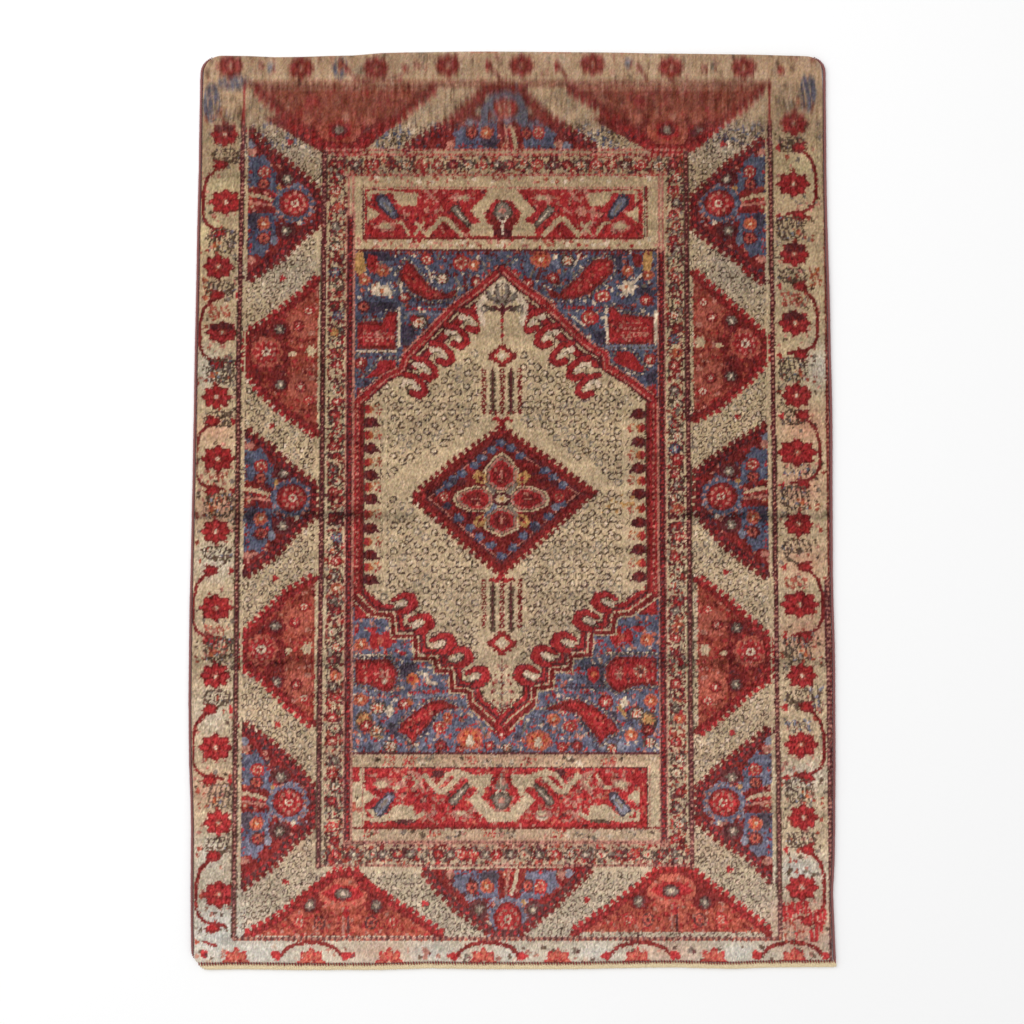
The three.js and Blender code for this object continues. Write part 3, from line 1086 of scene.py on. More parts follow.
SPANDREL_UPPER_RIGHT = """
line gold 20:14 263,486 262,452
fill madder 232,486 252,482 250,458 236,462
flower orange 224,452 24
flower orange 263,443 22
dot cream 225,420 40 30 6
dot orange 222,420 8
dot orange 234,426 6
line cream 5 212,404 250,444
box navy 190,458 214,484
box navy 240,404 272,420
flower salmon 176,402 32 24
flower red 260,395 26
trimmed madder 186,376 196,384 210,368 274,362 274,309 186,309
mottled red 190,372 197,378 210,362 270,356 270,314 190,314
beads rose 6 10 214,340 262,340
line rose 3 222,350 250,350
beads rose 6 10 210,326 262,326
line rose 3 226,332 260,332
line sky 9 186,302 276,302
beads dark 4 8 186,302 276,302
line cream 5 182,380 184,310
line cream 6 278,372 278,310
trimmed red 196,281 206,296 230,294 256,262 250,254 226,262 200,272
flower red 267,279 26 22
fill navy 256,246 278,262 278,230 262,232
fill blue 190,300 196,276 190,268 184,290
mottled red 256,222 280,232 280,200 262,208
trimmed madder 195,470 186,478 160,474 134,448 92,408 64,420 76,398 118,396 150,408 196,448
mottled red 190,468 164,468 138,446 96,404 118,402 148,414 188,450
beads salmon 6 16 176,460 150,436 112,410
flower orange 56,474 40 32
flower red 80,438 26
line maroon 7 56,456 50,438
line grey 4 42,452 34,436
flower red 31,428 24
flower red 4,446 20
flower cream 108,472 26
line grey 4 118,452 122,436
line cream 4 132,486 120,462
flower salmon 150,360 34 30
dot red 162,360 13 20
line cream 5 118,362 140,346
fill navy 158,334 182,334 180,306 160,312
beads red 7 9 98,380 178,380
line sky 4 100,371 134,371
beads madder 6 10 0,486 270,486
beads red 7 12 -10,462 30,436
"""
SPANDREL_LOWER_LEFT = """
fill madder -304,-186 -300,-222 -262,-218
fill red -300,-192 -298,-218 -270,-216
dot blue -252,-226 22 24
fill red -286,-236 -254,-236 -266,-250
dot red -262,-262 22 34
dot red -240,-260 26 34
dot salmon -252,-262 12 16
flower orange -288,-269 27 24
line cream 4 -300,-291 -232,-291
beads dark 4 8 -300,-291 -232,-291
trimmed madder -300,-298 -232,-298 -218,-320 -222,-348 -238,-362 -270,-348 -298,-346
mottled red -296,-304 -236,-304 -224,-322 -228,-344 -240,-354 -266,-342 -294,-340
beads rose 7 12 -284,-308 -278,-338
dot rose -243,-330 24 30 6 0.5
dot cream -243,-340 8 12
dot red -243,-326 6 8
fill navy -212,-306 -182,-302 -178,-320 -212,-336
dot red -210,-286 14 8
dot orange -190,-335 26 22
dot red -192,-335 12 10
line cream 5:8 -178,-324 -164,-326 -160,-342 -146,-344
beads red 7 9 -200,-362 -118,-358
line sky 4 -200,-372 -110,-366
flower orange -289,-374 27 25
flower cream -256,-390 34 26
dot cream -234,-396 16 22
flower red -206,-383 26
dot orange -196,-378 12
flower gold -283,-414 34 40
flower red -278,-424 26
line gold 8:4 -266,-440 -248,-446
flower cream -258,-432 24
trimmed madder -222,-436 -206,-414 -176,-390 -150,-376 -128,-376 -100,-390 -130,-394 -148,-402 -160,-424
  -180,-444 -188,-462 -200,-442
mottled red -214,-435 -200,-416 -170,-392 -148,-381 -124,-384 -150,-396 -166,-422 -184,-440 -190,-450
  -202,-438
beads salmon 6 15 -206,-430 -176,-410 -150,-390
line navy 5 -172,-446 -150,-412
line cream 4 -182,-458 -180,-474
flower salmon -137,-428 26
flower orange -123,-408 20
flower orange -80,-448 50 42
dot cream -80,-456 20 16 5
flower red -42,-462 20
dot sky -258,-464 16 20
flower cream -232,-464 26
flower maroon -136,-462 26
flower cream -10,-466 20
flower red -100,-470 18
fill navy -240,-420 -230,-440 -212,-440 -226,-416
line grey 4 -60,-420 -52,-440
line red 7 -42,-430 -19,-448 4,-430
flower red -19,-440 22
"""
SPANDREL_LOWER_RIGHT = """
fill madder 276,-178 280,-214 240,-212
fill red 274,-186 276,-210 252,-208
dot blue 226,-224 22 24
fill red 224,-236 262,-232 244,-246
dot red 200,-254 26 34
dot red 222,-254 20 30
dot salmon 210,-254 11 15
flower orange 258,-260 27 24
line cream 4 180,-286 276,-286
beads dark 4 8 180,-286 276,-286
trimmed madder 277,-292 196,-292 178,-314 182,-344 198,-360 236,-348 277,-346
mottled red 272,-298 200,-298 184,-316 188,-340 200,-352 234,-342 272,-340
flower salmon 246,-320 38 34
dot maroon 246,-320 12 12
dot rose 204,-326 18 26 6 0.5
beads rose 6 12 268,-300 268,-340
fill navy 140,-306 174,-306 176,-348 142,-346
dot red 156,-326 22 30
dot orange 156,-326 10 12
line navy 5 98,-352 175,-352
beads red 6 9 98,-360 172,-362
flower red 179,-378 30 26
flower orange 265,-376 27 25
dot navy 193,-405 18
dot navy 225,-405 18 20
line gold 10:5 206,-388 218,-408
flower cream 238,-400 28
dot cream 214,-380 14 20
flower gold 260,-414 34 36
flower maroon 259,-432 26
trimmed madder 206,-434 190,-412 158,-388 130,-376 104,-376 60,-392 104,-396 130,-404 142,-424 160,-444
  168,-460 184,-442
mottled red 198,-433 184,-414 152,-391 128,-381 100,-384 132,-398 148,-422 166,-440 170,-448 186,-436
beads salmon 6 15 190,-428 158,-408 130,-390
line navy 5 154,-446 132,-414
flower orange 79,-412 26
flower salmon 112,-424 26
flower orange 50,-452 48 40
dot cream 50,-460 18 14 5
dot navy 11,-444 16 18
flower orange 227,-442 26
flower cream 262,-456 24
flower red 96,-464 22
flower maroon 124,-462 24
flower cream 190,-466 22
dot sky 208,-462 14 18
line grey 4 26,-420 20,-440
"""


def field(pen):
    pen.box("blue", -304, -478, 284, 494)
    upper = ("navy", "madder", "indigo", "maroon", "sky", "grey", "cream", "madder", "salmon", "maroon")
    lower = ("navy", "red", "indigo", "rose", "sky", "rose", "cream", "red", "salmon", "red")
    for wools, bottom, top in ((upper, 180, 494), (lower, -478, -160)):
        pen.flecks(wools, 0.75, 8.5, -300, bottom, 280, top)
    for table in (SPANDREL_UPPER_LEFT, SPANDREL_UPPER_RIGHT, SPANDREL_LOWER_LEFT, SPANDREL_LOWER_RIGHT):
        pen.draw(table)
    medallion(pen)
    pen.line("maroon", 6, -304, 492, 284, 492)
    pen.line("maroon", 7, -304, -476, 284, -476)


# The cartouches above and below the field
PANEL_TOP = """
box tan -310,495 285,640
flecks rose/salmon/cream/brick 0.6 10 -305,624 280,640
flecks rose/salmon/cream/red/rose 0.75 10 -305,497 280,514
line maroon 4 -289,620 -289,515
line dark 3 257,618 258,520
line madder 3 261,618 262,520
mottled red -285,518 254,518 254,613 -285,613
line rose 3 -285,615 254,615
line madder 5 -285,516 254,516
fill madder -38,520 -44,560 -18,592 8,560 2,520
dot maroon -18,526 40 16
line rose 9 142,612 150,590 158,565 150,540 140,524
dot rose 135,568 26 26 6 0.4
dot red 150,578 9 12
dot red 152,553 8 10
"""
# One half of a panel's ornament, outwards from its middle
PANEL_HALF = """
fill tan 0,611 26,611 64,569 50,556 40,562 14,591 0,591
fill tan 48,562 34,562 30,545 20,540 18,520 62,520 64,544 44,546
line dark 18:11 92,572 66,542
line grey 12:6 92,572 67,544
line cream 3 88,568 72,550
line tan 10 80,523 104,548 112,553 120,553 146,523
fill tan 164,604 214,608 210,594 196,578 168,580
line navy 18:25 212,562 234,590
line sky 10:16 214,564 232,588
line grey 5 218,568 230,584
fill tan 238,563 264,580 264,546
line tan 6 260,590 260,606 214,607
dot rose 226,539 42 24 5 0.3
dot tan 228,540 24 13
line tan 6 206,546 196,546 182,524
line tan 5 170,548 150,524
line tan 5 170,524 152,546
line rose 5 150,610 128,588
line rose 5 128,610 150,588
dot rose 80,595 54 16 6 0.4
dot tan 76,594 20 8
dot rose 187,562 16 14 5 0.4
dot rose 148,570 12 10
line rose 4 118,575 132,565
fill dark 0,590 12,584 21,566 12,554 0,554
fill grey 0,586 9,580 16,567 9,558 0,558
dot rose 0,570 12 12
line cream 4 0,525 0,546 10,558
"""
PANEL_BOTTOM = """
box tan -308,-640 285,-479
flecks rose/grey/cream/umber 0.2 12 -300,-499 280,-482
flecks rose/grey/cream/umber 0.2 12 -300,-636 280,-619
flecks umber/grey/salmon 0.4 12 -306,-610 -288,-540
line maroon 3 -300,-503 258,-503
line rose 4 262,-500 262,-618
line maroon 3 257,-503 257,-616
box red -306,-530 -290,-503
mottled red -281,-614 256,-614 256,-504 -281,-504
flecks rose/salmon/rose 0.34 10 -275,-608 250,-510
line rose 3 -284,-504 -284,-616
line madder 4 -300,-617 280,-617
dot cream 57,-593 26 20
dot grey 57,-593 15 11
dot maroon -140,-514 26 12
dot maroon 92,-512 26 12
dot maroon -205,-604 44 12
dot umber 168,-602 40 12
"""
PANEL_BOTTOM_HALF = """
line tan 12:6 62,524 84,516 104,522 120,542
line tan 8 250,590 232,608 216,598 200,583 184,583 166,604 150,596
fill tan 212,590 196,576 180,590
line rose 8 176,516 158,522 152,540 168,550
dot rose 188,540 20 16 5 0.4
fill grey 0,518 15,548 0,552
dot rose 4,536 8 14
"""


# The patches on the bottom panel's two edges: how high each edge is, and where its reds and greys stand
EDGE_PATCHES = (
    (-490, (-233, -193, -78, 33, 183), (-163, -42, 102)),
    (-627, (-275, -150, -42, 87), (-110, -8, 130, 222)),
)


def cartouches(pen):
    pen.draw(PANEL_TOP)
    for side in (-1, 1):
        pen.at(-18, 0, 0, side).draw(PANEL_HALF)
    pen.draw(PANEL_BOTTOM)
    for y, reds, greys in EDGE_PATCHES:
        for x in reds:
            slanting = (x - 16, y - 8, x + 10, y - 8, x + 16, y + 8, x - 10, y + 8)
            pen.speckle(("salmon", "red", "salmon"), 1, 6, *slanting)
        for x in greys:
            pen.flecks(("grey", "umber", "cream"), 0.8, 7, x - 16, y - 9, x + 16, y + 9)
    for side in (-1, 1):
        half = Pen(pen.cartoon, (-20, 5), (side, 0), (0, -1))
        half.draw(PANEL_HALF)
        half.draw(PANEL_BOTTOM_HALF)


def weave(cartoon):
    """Draws the whole design."""
    pen = Pen(cartoon)
    outer_border(pen)
    main_border(pen)
    pen.draw(GUARDS)
    field(pen)
    cartouches(pen)
    narrow_border(pen)


# How the rug's colours change from its foot to its top end, with age and with painted shade, at these heights
# in mm
HEIGHTS = (-886, -800, -650, -450, -250, 0, 300, 640, 720, 760, 886)
# The undyed wool's colour
TANS = (
    (207, 192, 172), (203, 184, 160), (198, 173, 143), (198, 171, 139), (197, 170, 138), (194, 167, 133),
    (186, 160, 126), (173, 146, 113), (164, 137, 107), (163, 134, 105), (172, 140, 112),
)
# How far every dye has paled, and how far painted shade browns it, most at the top end where the rug bends
# away from the light, and to what colours
VEIL = (0.26, 0.22, 0.17, 0.13, 0.10, 0.02, 0.0, 0.0, 0.02, 0.04, 0.06)
VEIL_COLOUR = (216, 182, 166)
BROWN_SHADE = (0.0, 0.0, 0.0, 0.0, 0.0, 0.04, 0.06, 0.06, 0.1, 0.34, 0.34)
BROWN_SHADE_COLOUR = (96, 72, 54)
# How bright the reds, the blues and all the wools are
GLOW = (1.18, 1.17, 1.14, 1.09, 1.03, 0.96, 0.95, 0.98, 0.96, 0.94, 0.94)
SLATES = (1.1, 1.08, 1.05, 1.0, 0.97, 0.88, 0.82, 0.84, 0.9, 0.98, 1.0)
SHADE = (0.99, 0.98, 0.97, 0.95, 0.93, 0.935, 0.93, 0.93, 0.94, 0.96, 0.96)
# How much the tufts differ, how far their tips have matted together, and how streaked the warps are
GRAIN = (0.7, 0.9, 1.0, 1.1, 1.0, 0.95, 0.9, 0.8, 0.8, 0.5, 0.5)
BLUR = (0.08, 0.08, 0.08, 0.1, 0.1, 0.1, 0.1, 0.15, 0.25, 0.95, 0.95)
STREAKS = (3, 3, 3, 3, 4, 4, 4, 6, 12, 13, 14)
# Above this height in mm every dark yarn has faded, and to what
FADE_FROM = 738
FADED = {"dark": "tan", "navy": "blue", "maroon": "madder"}
REDS = ("red", "madder", "salmon", "brick", "orange")
BLUES = ("blue", "sky", "indigo")
# The rows darkened by painted shade along the rug's folds: each one's height, width and depth, and how far
# across the rug the first one holds
FOLD_SHADOWS = ((-22, 9, 0.66), (-302, 12, 0.84), (-748, 5, 0.88), (640, 10, 0.92))
FOLD_SHADOW_PLACES = (-330, -190, -180, 300, 330)
FOLD_SHADOW_SHARES = (1, 0.7, 0.15, 0.15, 0.8)

# Where the undyed wool has greyed, paled or taken up dye, and where its darkest tint is painted shade: each
# place's tint, strength, middle and size
TINTS = {
    "ash": (202, 197, 188), "slate": (148, 142, 138), "blush": (190, 118, 98), "straw": (206, 186, 140),
    "dusk": (86, 68, 60),
}
STAINS_AND_SHADE = """
dusk 0.34 -575,610 60 130
dusk 0.16 -450,600 70 150
dusk 0.12 -470,-640 120 90
ash 0.9 -560,-810 110 130
ash 0.7 -470,-850 120 50
ash 0.8 545,-695 90 60
ash 0.6 -575,-670 70 80
ash 0.5 -590,260 70 90
ash 0.6 595,265 60 90
ash 0.45 -570,-110 90 80
ash 0.5 560,-520 110 60
ash 0.4 -575,-400 80 90
blush 0.5 565,150 90 70
blush 0.55 565,-255 90 70
blush 0.6 550,-800 110 90
blush 0.5 555,30 90 70
blush 0.35 -570,140 80 50
blush 0.35 -570,-545 80 60
blush 0.4 560,-110 90 60
straw 0.6 -590,530 60 80
straw 0.6 560,655 80 70
straw 0.6 -565,620 80 60
blush 0.5 -560,-10 90 60
slate 0.35 -440,450 150 130
slate 0.35 430,450 150 130
slate 0.3 -430,690 130 90
slate 0.3 400,700 130 90
blush 0.3 -240,-850 120 40
blush 0.3 300,-850 120 40
ash 0.6 -150,-850 90 40
ash 0.6 0,-855 70 40
ash 0.6 160,-850 90 40
ash 0.7 430,-850 80 40
blush 0.3 0,-480 560 40
blush 0.3 0,-650 620 60
"""


def smooth_noise(rng, shape, cells):
    """Soft noise from -1 to 1 over the knots, with so many cells up and across."""
    coarse = rng.uniform(-1, 1, (cells[0] + 2, cells[1] + 2))
    v = np.linspace(0, cells[0] + 0.999, shape[0])
    u = np.linspace(0, cells[1] + 0.999, shape[1])
    j, i = v.astype(int), u.astype(int)
    fv, fu = v - j, u - i
    fv, fu = (fv * fv * (3 - 2 * fv))[:, None], (fu * fu * (3 - 2 * fu))[None]
    j, i = j[:, None], i[None]
    j1, i1 = np.minimum(j + 1, cells[0] + 1), np.minimum(i + 1, cells[1] + 1)
    low = coarse[j, i] * (1 - fu) + coarse[j, i1] * fu
    high = coarse[j1, i] * (1 - fu) + coarse[j1, i1] * fu
    return low * (1 - fv) + high * fv


def ragged(wool, rng):
    """The same knots with each edge a little uneven, as tufts lean over each other."""
    j, i = np.indices(wool.shape)
    step = rng.choice([-1, 0, 1], (2, *wool.shape), p=[0.09, 0.82, 0.09])
    j = (j + step[0]).clip(0, wool.shape[0] - 1)
    i = (i + step[1]).clip(0, wool.shape[1] - 1)
    return wool[j, i]


def averaged(colour, up, across):
    """Every knot's colour, averaged with so many of its neighbours up and down, and to each side."""
    for axis, far in ((0, up), (1, across)):
        total = colour.copy()
        for step in range(1, far + 1):
            total += np.roll(colour, step, axis) + np.roll(colour, -step, axis)
        colour = total / (2 * far + 1)
    return colour


def by_height(y, values):
    """A value for each knot, from a table by height."""
    values = np.array(values, float)
    if values.ndim == 1:
        return np.interp(y, HEIGHTS, values)
    return np.stack([np.interp(y, HEIGHTS, column) for column in values.T], -1)


def made_of(wool, names):
    """Which knots are tied with any of the wools named."""
    return np.isin(wool, [INDEX[name] for name in names])


def knotted(x, y, dyes):
    """The colour of every knot at x and y in mm, as sRGB from 0 to 255."""
    cartoon = Cartoon(x, y)
    weave(cartoon)
    rng = np.random.default_rng(31)
    faded = y + 7 * smooth_noise(rng, x.shape, (160, 90)) > FADE_FROM
    wool = ragged(cartoon.wool, rng)
    for dark, light in FADED.items():
        wool[faded & (wool == INDEX[dark])] = INDEX[light]
    colour = np.array(dyes, float)[wool]
    ground = wool == INDEX["tan"]
    colour[ground] = by_height(y[ground], TANS)
    reds = made_of(wool, REDS)
    colour[reds] *= by_height(y[reds], GLOW)[:, None]
    # Stains on the undyed wool, with painted shade from the darkest tint
    for tint, share, x0, y0, wide, high in rows(STAINS_AND_SHADE):
        spread = np.exp(-(((x - x0) / wide) ** 2 + ((y - y0) / high) ** 2) * 4) * share * ground
        colour += (np.array(TINTS[tint]) - colour) * spread[..., None]
    blues = made_of(wool, BLUES)
    colour[blues] *= by_height(y[blues], SLATES)[:, None]
    veil = by_height(y, VEIL)[..., None] * np.where(ground, 0, np.where(reds, 0.4, 1))[..., None]
    colour += (np.array(VEIL_COLOUR) - colour) * veil
    # Painted shade that browns the dyed wools, most at the top end
    colour += (np.array(BROWN_SHADE_COLOUR) - colour) * by_height(y, BROWN_SHADE)[..., None] * ~ground[..., None]
    blur = by_height(y, BLUR)[..., None]
    colour += (averaged(colour, 3, 0) - colour) * blur
    streaks = smooth_noise(rng, x.shape, (70, 260)) + 0.6 * smooth_noise(rng, x.shape, (24, 500))
    colour += (streaks * by_height(y, STREAKS))[..., None]
    level = 1 + 0.06 * smooth_noise(rng, x.shape, (120, 2)) + 0.06 * smooth_noise(rng, x.shape, (40, 30))
    level += 0.1 * smooth_noise(rng, x.shape, (230, 160)) * ~ground
    level *= by_height(y, SHADE)
    # Painted shade along the folds that cross the rug
    for number, (at, wide, depth) in enumerate(FOLD_SHADOWS):
        near = np.exp(-(((y - at) / wide) ** 2)) * (0.75 + 0.5 * smooth_noise(rng, x.shape, (60, 12)))
        if number == 0:
            near *= np.interp(x, FOLD_SHADOW_PLACES, FOLD_SHADOW_SHARES)
        level *= 1 - (1 - depth) * near
    grain = rng.normal(0, 1, x.shape)
    grain = (grain + 0.55 * np.roll(grain, 1, 0)) * by_height(y, GRAIN)
    tufts = 5.5 * (grain * np.where(ground, 0.7, 1.1))
    colour = colour * (level + 0.07 * grain)[..., None] + tufts[..., None]
    colour += rng.normal(0, 3, colour.shape)
    return colour.clip(4, 250)


# How far from the middle the sides run before the corners turn, and where the corners end, in mm
STRAIGHT = 800
CORNERS = 860


def reach(node, axis, places):
    """A CAD node's lowest and highest reach along the other axis, at places in mm along this one."""
    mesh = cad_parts[node].data
    points = np.empty(len(mesh.vertices) * 3)
    mesh.vertices.foreach_get("co", points)
    points = points.reshape(-1, 3)[:, :2] / MM
    ends = np.empty(len(mesh.edges) * 2, int)
    mesh.edges.foreach_get("vertices", ends)
    first, last = points[ends.reshape(-1, 2)].transpose(1, 0, 2)
    low_end, high_end = points[:, axis].min() + 0.02, points[:, axis].max() - 0.02
    found = []
    for place in np.clip(places, low_end, high_end):
        crosses = (first[:, axis] > place) != (last[:, axis] > place)
        a, b = first[crosses], last[crosses]
        share = (place - a[:, axis]) / (b - a)[:, axis]
        at = a[:, 1 - axis] + share * (b - a)[:, 1 - axis]
        found.append((at.min(), at.max()))
    return np.transpose(found)


class Outline:
    """The pile's outline in plan, in mm."""

    def __init__(self):
        self.x = np.arange(-620.0, 621.0, 1.0)
        self.y = np.arange(-890.0, 891.0, 2.0)
        self.foot, self.head = reach("rug_body", 0, self.x)
        self.left, self.right = reach("rug_body", 1, self.y)

    def sides(self, y):
        return np.interp(y, self.y, self.left), np.interp(y, self.y, self.right)

    def ends(self, x):
        """The foot and the head at x, never inside the stretch whose sides are straight."""
        foot, head = np.interp(x, self.x, self.foot), np.interp(x, self.x, self.head)
        return np.minimum(foot, -STRAIGHT), np.maximum(head, STRAIGHT)

    def fit(self, x, y, snap):
        """Moves places outside the outline, or within snap of it, onto it; says how far in each is."""
        left, right = self.sides(y.clip(-STRAIGHT, STRAIGHT))
        x = np.where(x < left + snap, left, np.where(x > right - snap, right, x))
        foot, head = self.ends(x)
        y = np.where(y < foot + snap, foot, np.where(y > head - snap, head, y))
        left, right = self.sides(y.clip(-CORNERS, CORNERS))
        inside = np.minimum.reduce([x - left, right - x, y - foot, head - y]).clip(0)
        return x, y, inside


def linear(colour):
    """Colours for a shader from those in sRGB, each from 0 to 1."""
    colour = np.asarray(colour)
    return np.where(colour <= 0.04045, colour / 12.92, ((colour + 0.055) / 1.055) ** 2.4)


def new_piece(name, points, faces, colours=None):
    """A shaded mesh piece from points in mm and faces of point numbers."""
    mesh = bpy.data.meshes.new(name)
    mesh.from_pydata((np.asarray(points) * MM).tolist(), [], faces)
    if colours is not None:
        layer = mesh.color_attributes.new("dye", "FLOAT_COLOR", "POINT")
        shades = np.column_stack([linear(colours / 255), np.ones(len(colours))])
        layer.data.foreach_set("color", shades.ravel().astype(np.float32))
        mesh.color_attributes.active_color = layer
    mesh.update()
    piece = bpy.data.objects.new(name, mesh)
    bpy.context.collection.objects.link(piece)
    return piece


def closed_slab(name, x, y, top, bottom, colours):
    """A closed slab over a grid of places in mm, with its top a height of its own and its underside flat."""
    plan = np.round(np.column_stack([x.ravel(), y.ravel()]), 2)
    _, first, same = np.unique(plan, axis=0, return_index=True, return_inverse=True)
    same = same.reshape(x.shape)
    quads = np.stack([same[:-1, :-1], same[:-1, 1:], same[1:, 1:], same[1:, :-1]], -1).reshape(-1, 4)
    repeats = quads == np.roll(quads, -1, 1)
    whole = ~repeats.any(1)
    single = repeats.sum(1) == 1
    faces = quads[whole].tolist()
    for corners, repeat in zip(quads[single], repeats[single]):
        faces.append(corners[~repeat].tolist())
    rim = same[0].tolist() + same[1:, -1].tolist() + same[-1, -2::-1].tolist() + same[-2:0:-1, 0].tolist()
    rim = [point for point, before in zip(rim, rim[-1:] + rim[:-1]) if point != before]
    count = len(first)
    upper = np.column_stack([plan[first], top.ravel()[first]])
    lower = np.column_stack([upper[rim][:, :2], np.full(len(rim), bottom)])
    middle = [*upper[:, :2].mean(0), bottom]
    points = np.vstack([upper, lower, [middle]])
    for k in range(len(rim)):
        n = (k + 1) % len(rim)
        faces.append([rim[n], rim[k], count + k, count + n])
        faces.append([count + n, count + k, count + len(rim)])
    dyes = colours.reshape(-1, 3)[first]
    piece = new_piece(name, points, faces, np.vstack([dyes, dyes[rim], dyes[rim[:1]]]))
    mesh = piece.data
    smooth = np.ones(len(mesh.polygons), bool)
    smooth[-2 * len(rim):] = False
    mesh.polygons.foreach_set("use_smooth", smooth)
    return piece


def grid(wide_pitch, high_pitch):
    """The knots' places over the whole rug, in mm."""
    low, high = box_of("rug_body")
    across = round((high[0] - low[0]) / wide_pitch)
    up = round((high[1] - low[1]) / high_pitch)
    return np.meshgrid(np.linspace(low[0], high[0], across + 1), np.linspace(low[1], high[1], up + 1))


def make_group(name, kind, inputs, outputs):
    """An empty node group with named sockets."""
    group = bpy.data.node_groups.new(name, kind)
    for label, socket, *default in inputs:
        item = group.interface.new_socket(label, in_out="INPUT", socket_type=socket)
        if default:
            item.default_value = default[0]
    for label, socket in outputs:
        group.interface.new_socket(label, in_out="OUTPUT", socket_type=socket)
    return group, group.nodes.new("NodeGroupInput").outputs, group.nodes.new("NodeGroupOutput")


def wire(tree, node, inputs):
    """Sets a node's inputs, each to a value or another node's output; a node stands for its first one."""
    for label, given in inputs.items():
        if isinstance(given, bpy.types.Node):
            given = given.outputs[0]
        if isinstance(given, bpy.types.NodeSocket):
            tree.links.new(given, node.inputs[label])
        else:
            node.inputs[label].default_value = given


def add_node(tree, kind, inputs, **settings):
    """A node with its settings and its inputs."""
    node = tree.nodes.new(kind)
    for name, setting in settings.items():
        setattr(node, name, setting)
    wire(tree, node, inputs)
    return node


def wool_fibres():
    """Fibres lying along the pile: a colour with painted shade, lighter where the fibres stand high and
    darker where they lie low, their height and their roughness.
    """
    group = bpy.data.node_groups.get("Wool Fibres")
    if group:
        return group
    group, given, result = make_group(
        "Wool Fibres",
        "ShaderNodeTree",
        [
            ("Colour", "NodeSocketColor", (0.5, 0.5, 0.5, 1)),
            ("Across", "NodeSocketFloat", 900.0),
            ("Along", "NodeSocketFloat", 220.0),
            ("Depth", "NodeSocketFloat", 0.3),
        ],
        [("Colour", "NodeSocketColor"), ("Height", "NodeSocketFloat"), ("Roughness", "NodeSocketFloat")],
    )
    place = add_node(group, "ShaderNodeTexCoord", {}).outputs["Object"]
    stretch = add_node(
        group, "ShaderNodeCombineXYZ", {"X": given["Across"], "Y": given["Along"], "Z": given["Across"]}
    )
    scaled = add_node(group, "ShaderNodeVectorMath", {0: place, 1: stretch}, operation="MULTIPLY")
    noise = add_node(
        group, "ShaderNodeTexNoise", {"Vector": scaled, "Scale": 1.0, "Detail": 4.0, "Roughness": 0.6}
    ).outputs["Fac"]
    # Depth sets how far the painted shade darkens the fibres' low parts and lightens their high parts
    darker = add_node(group, "ShaderNodeMath", {0: 1.0, 1: given["Depth"]}, operation="SUBTRACT")
    lighter = add_node(group, "ShaderNodeMath", {0: 1.0, 1: given["Depth"]}, operation="ADD")
    shade = add_node(
        group, "ShaderNodeMapRange",
        {"Value": noise, "From Min": 0.25, "From Max": 0.75, "To Min": darker, "To Max": lighter},
    )
    tint = add_node(group, "ShaderNodeVectorMath", {0: given["Colour"], "Scale": shade}, operation="SCALE")
    rough = add_node(group, "ShaderNodeMapRange", {"Value": noise, "To Min": 0.78, "To Max": 0.98})
    wire(group, result, {"Colour": tint, "Height": noise, "Roughness": rough})
    return group


def wool_material(name, colour, across, lengthwise, depth, bump, attribute=None):
    """Wool whose colour is one value, or each knot's own from an attribute."""
    material = bpy.data.materials.new(name)
    material.use_nodes = True
    tree = material.node_tree
    fibres = add_node(
        tree, "ShaderNodeGroup",
        {"Across": across, "Along": lengthwise, "Depth": depth, "Colour": (*colour, 1)},
        node_tree=wool_fibres(),
    )
    if attribute:
        dye = add_node(tree, "ShaderNodeAttribute", {}, attribute_name=attribute)
        wire(tree, fibres, {"Colour": dye.outputs["Color"]})
    relief = add_node(
        tree, "ShaderNodeBump", {"Strength": 0.6, "Distance": bump, "Height": fibres.outputs["Height"]}
    )
    wire(tree, tree.nodes["Principled BSDF"], {
        "Base Color": fibres.outputs["Colour"],
        "Roughness": fibres.outputs["Roughness"],
        "Normal": relief,
        "Specular IOR Level": 0.05,
        "Sheen Weight": 0.04,
        "Sheen Roughness": 0.5,
    })
    return material


# How far from a sewn edge's tips its first and last turns stand, in mm
SEAM_END = 2.5

# Over how many mm the turns at each end of a path grow to their full size, and how thin they start
TAPER = 16
THINNEST = 0.45


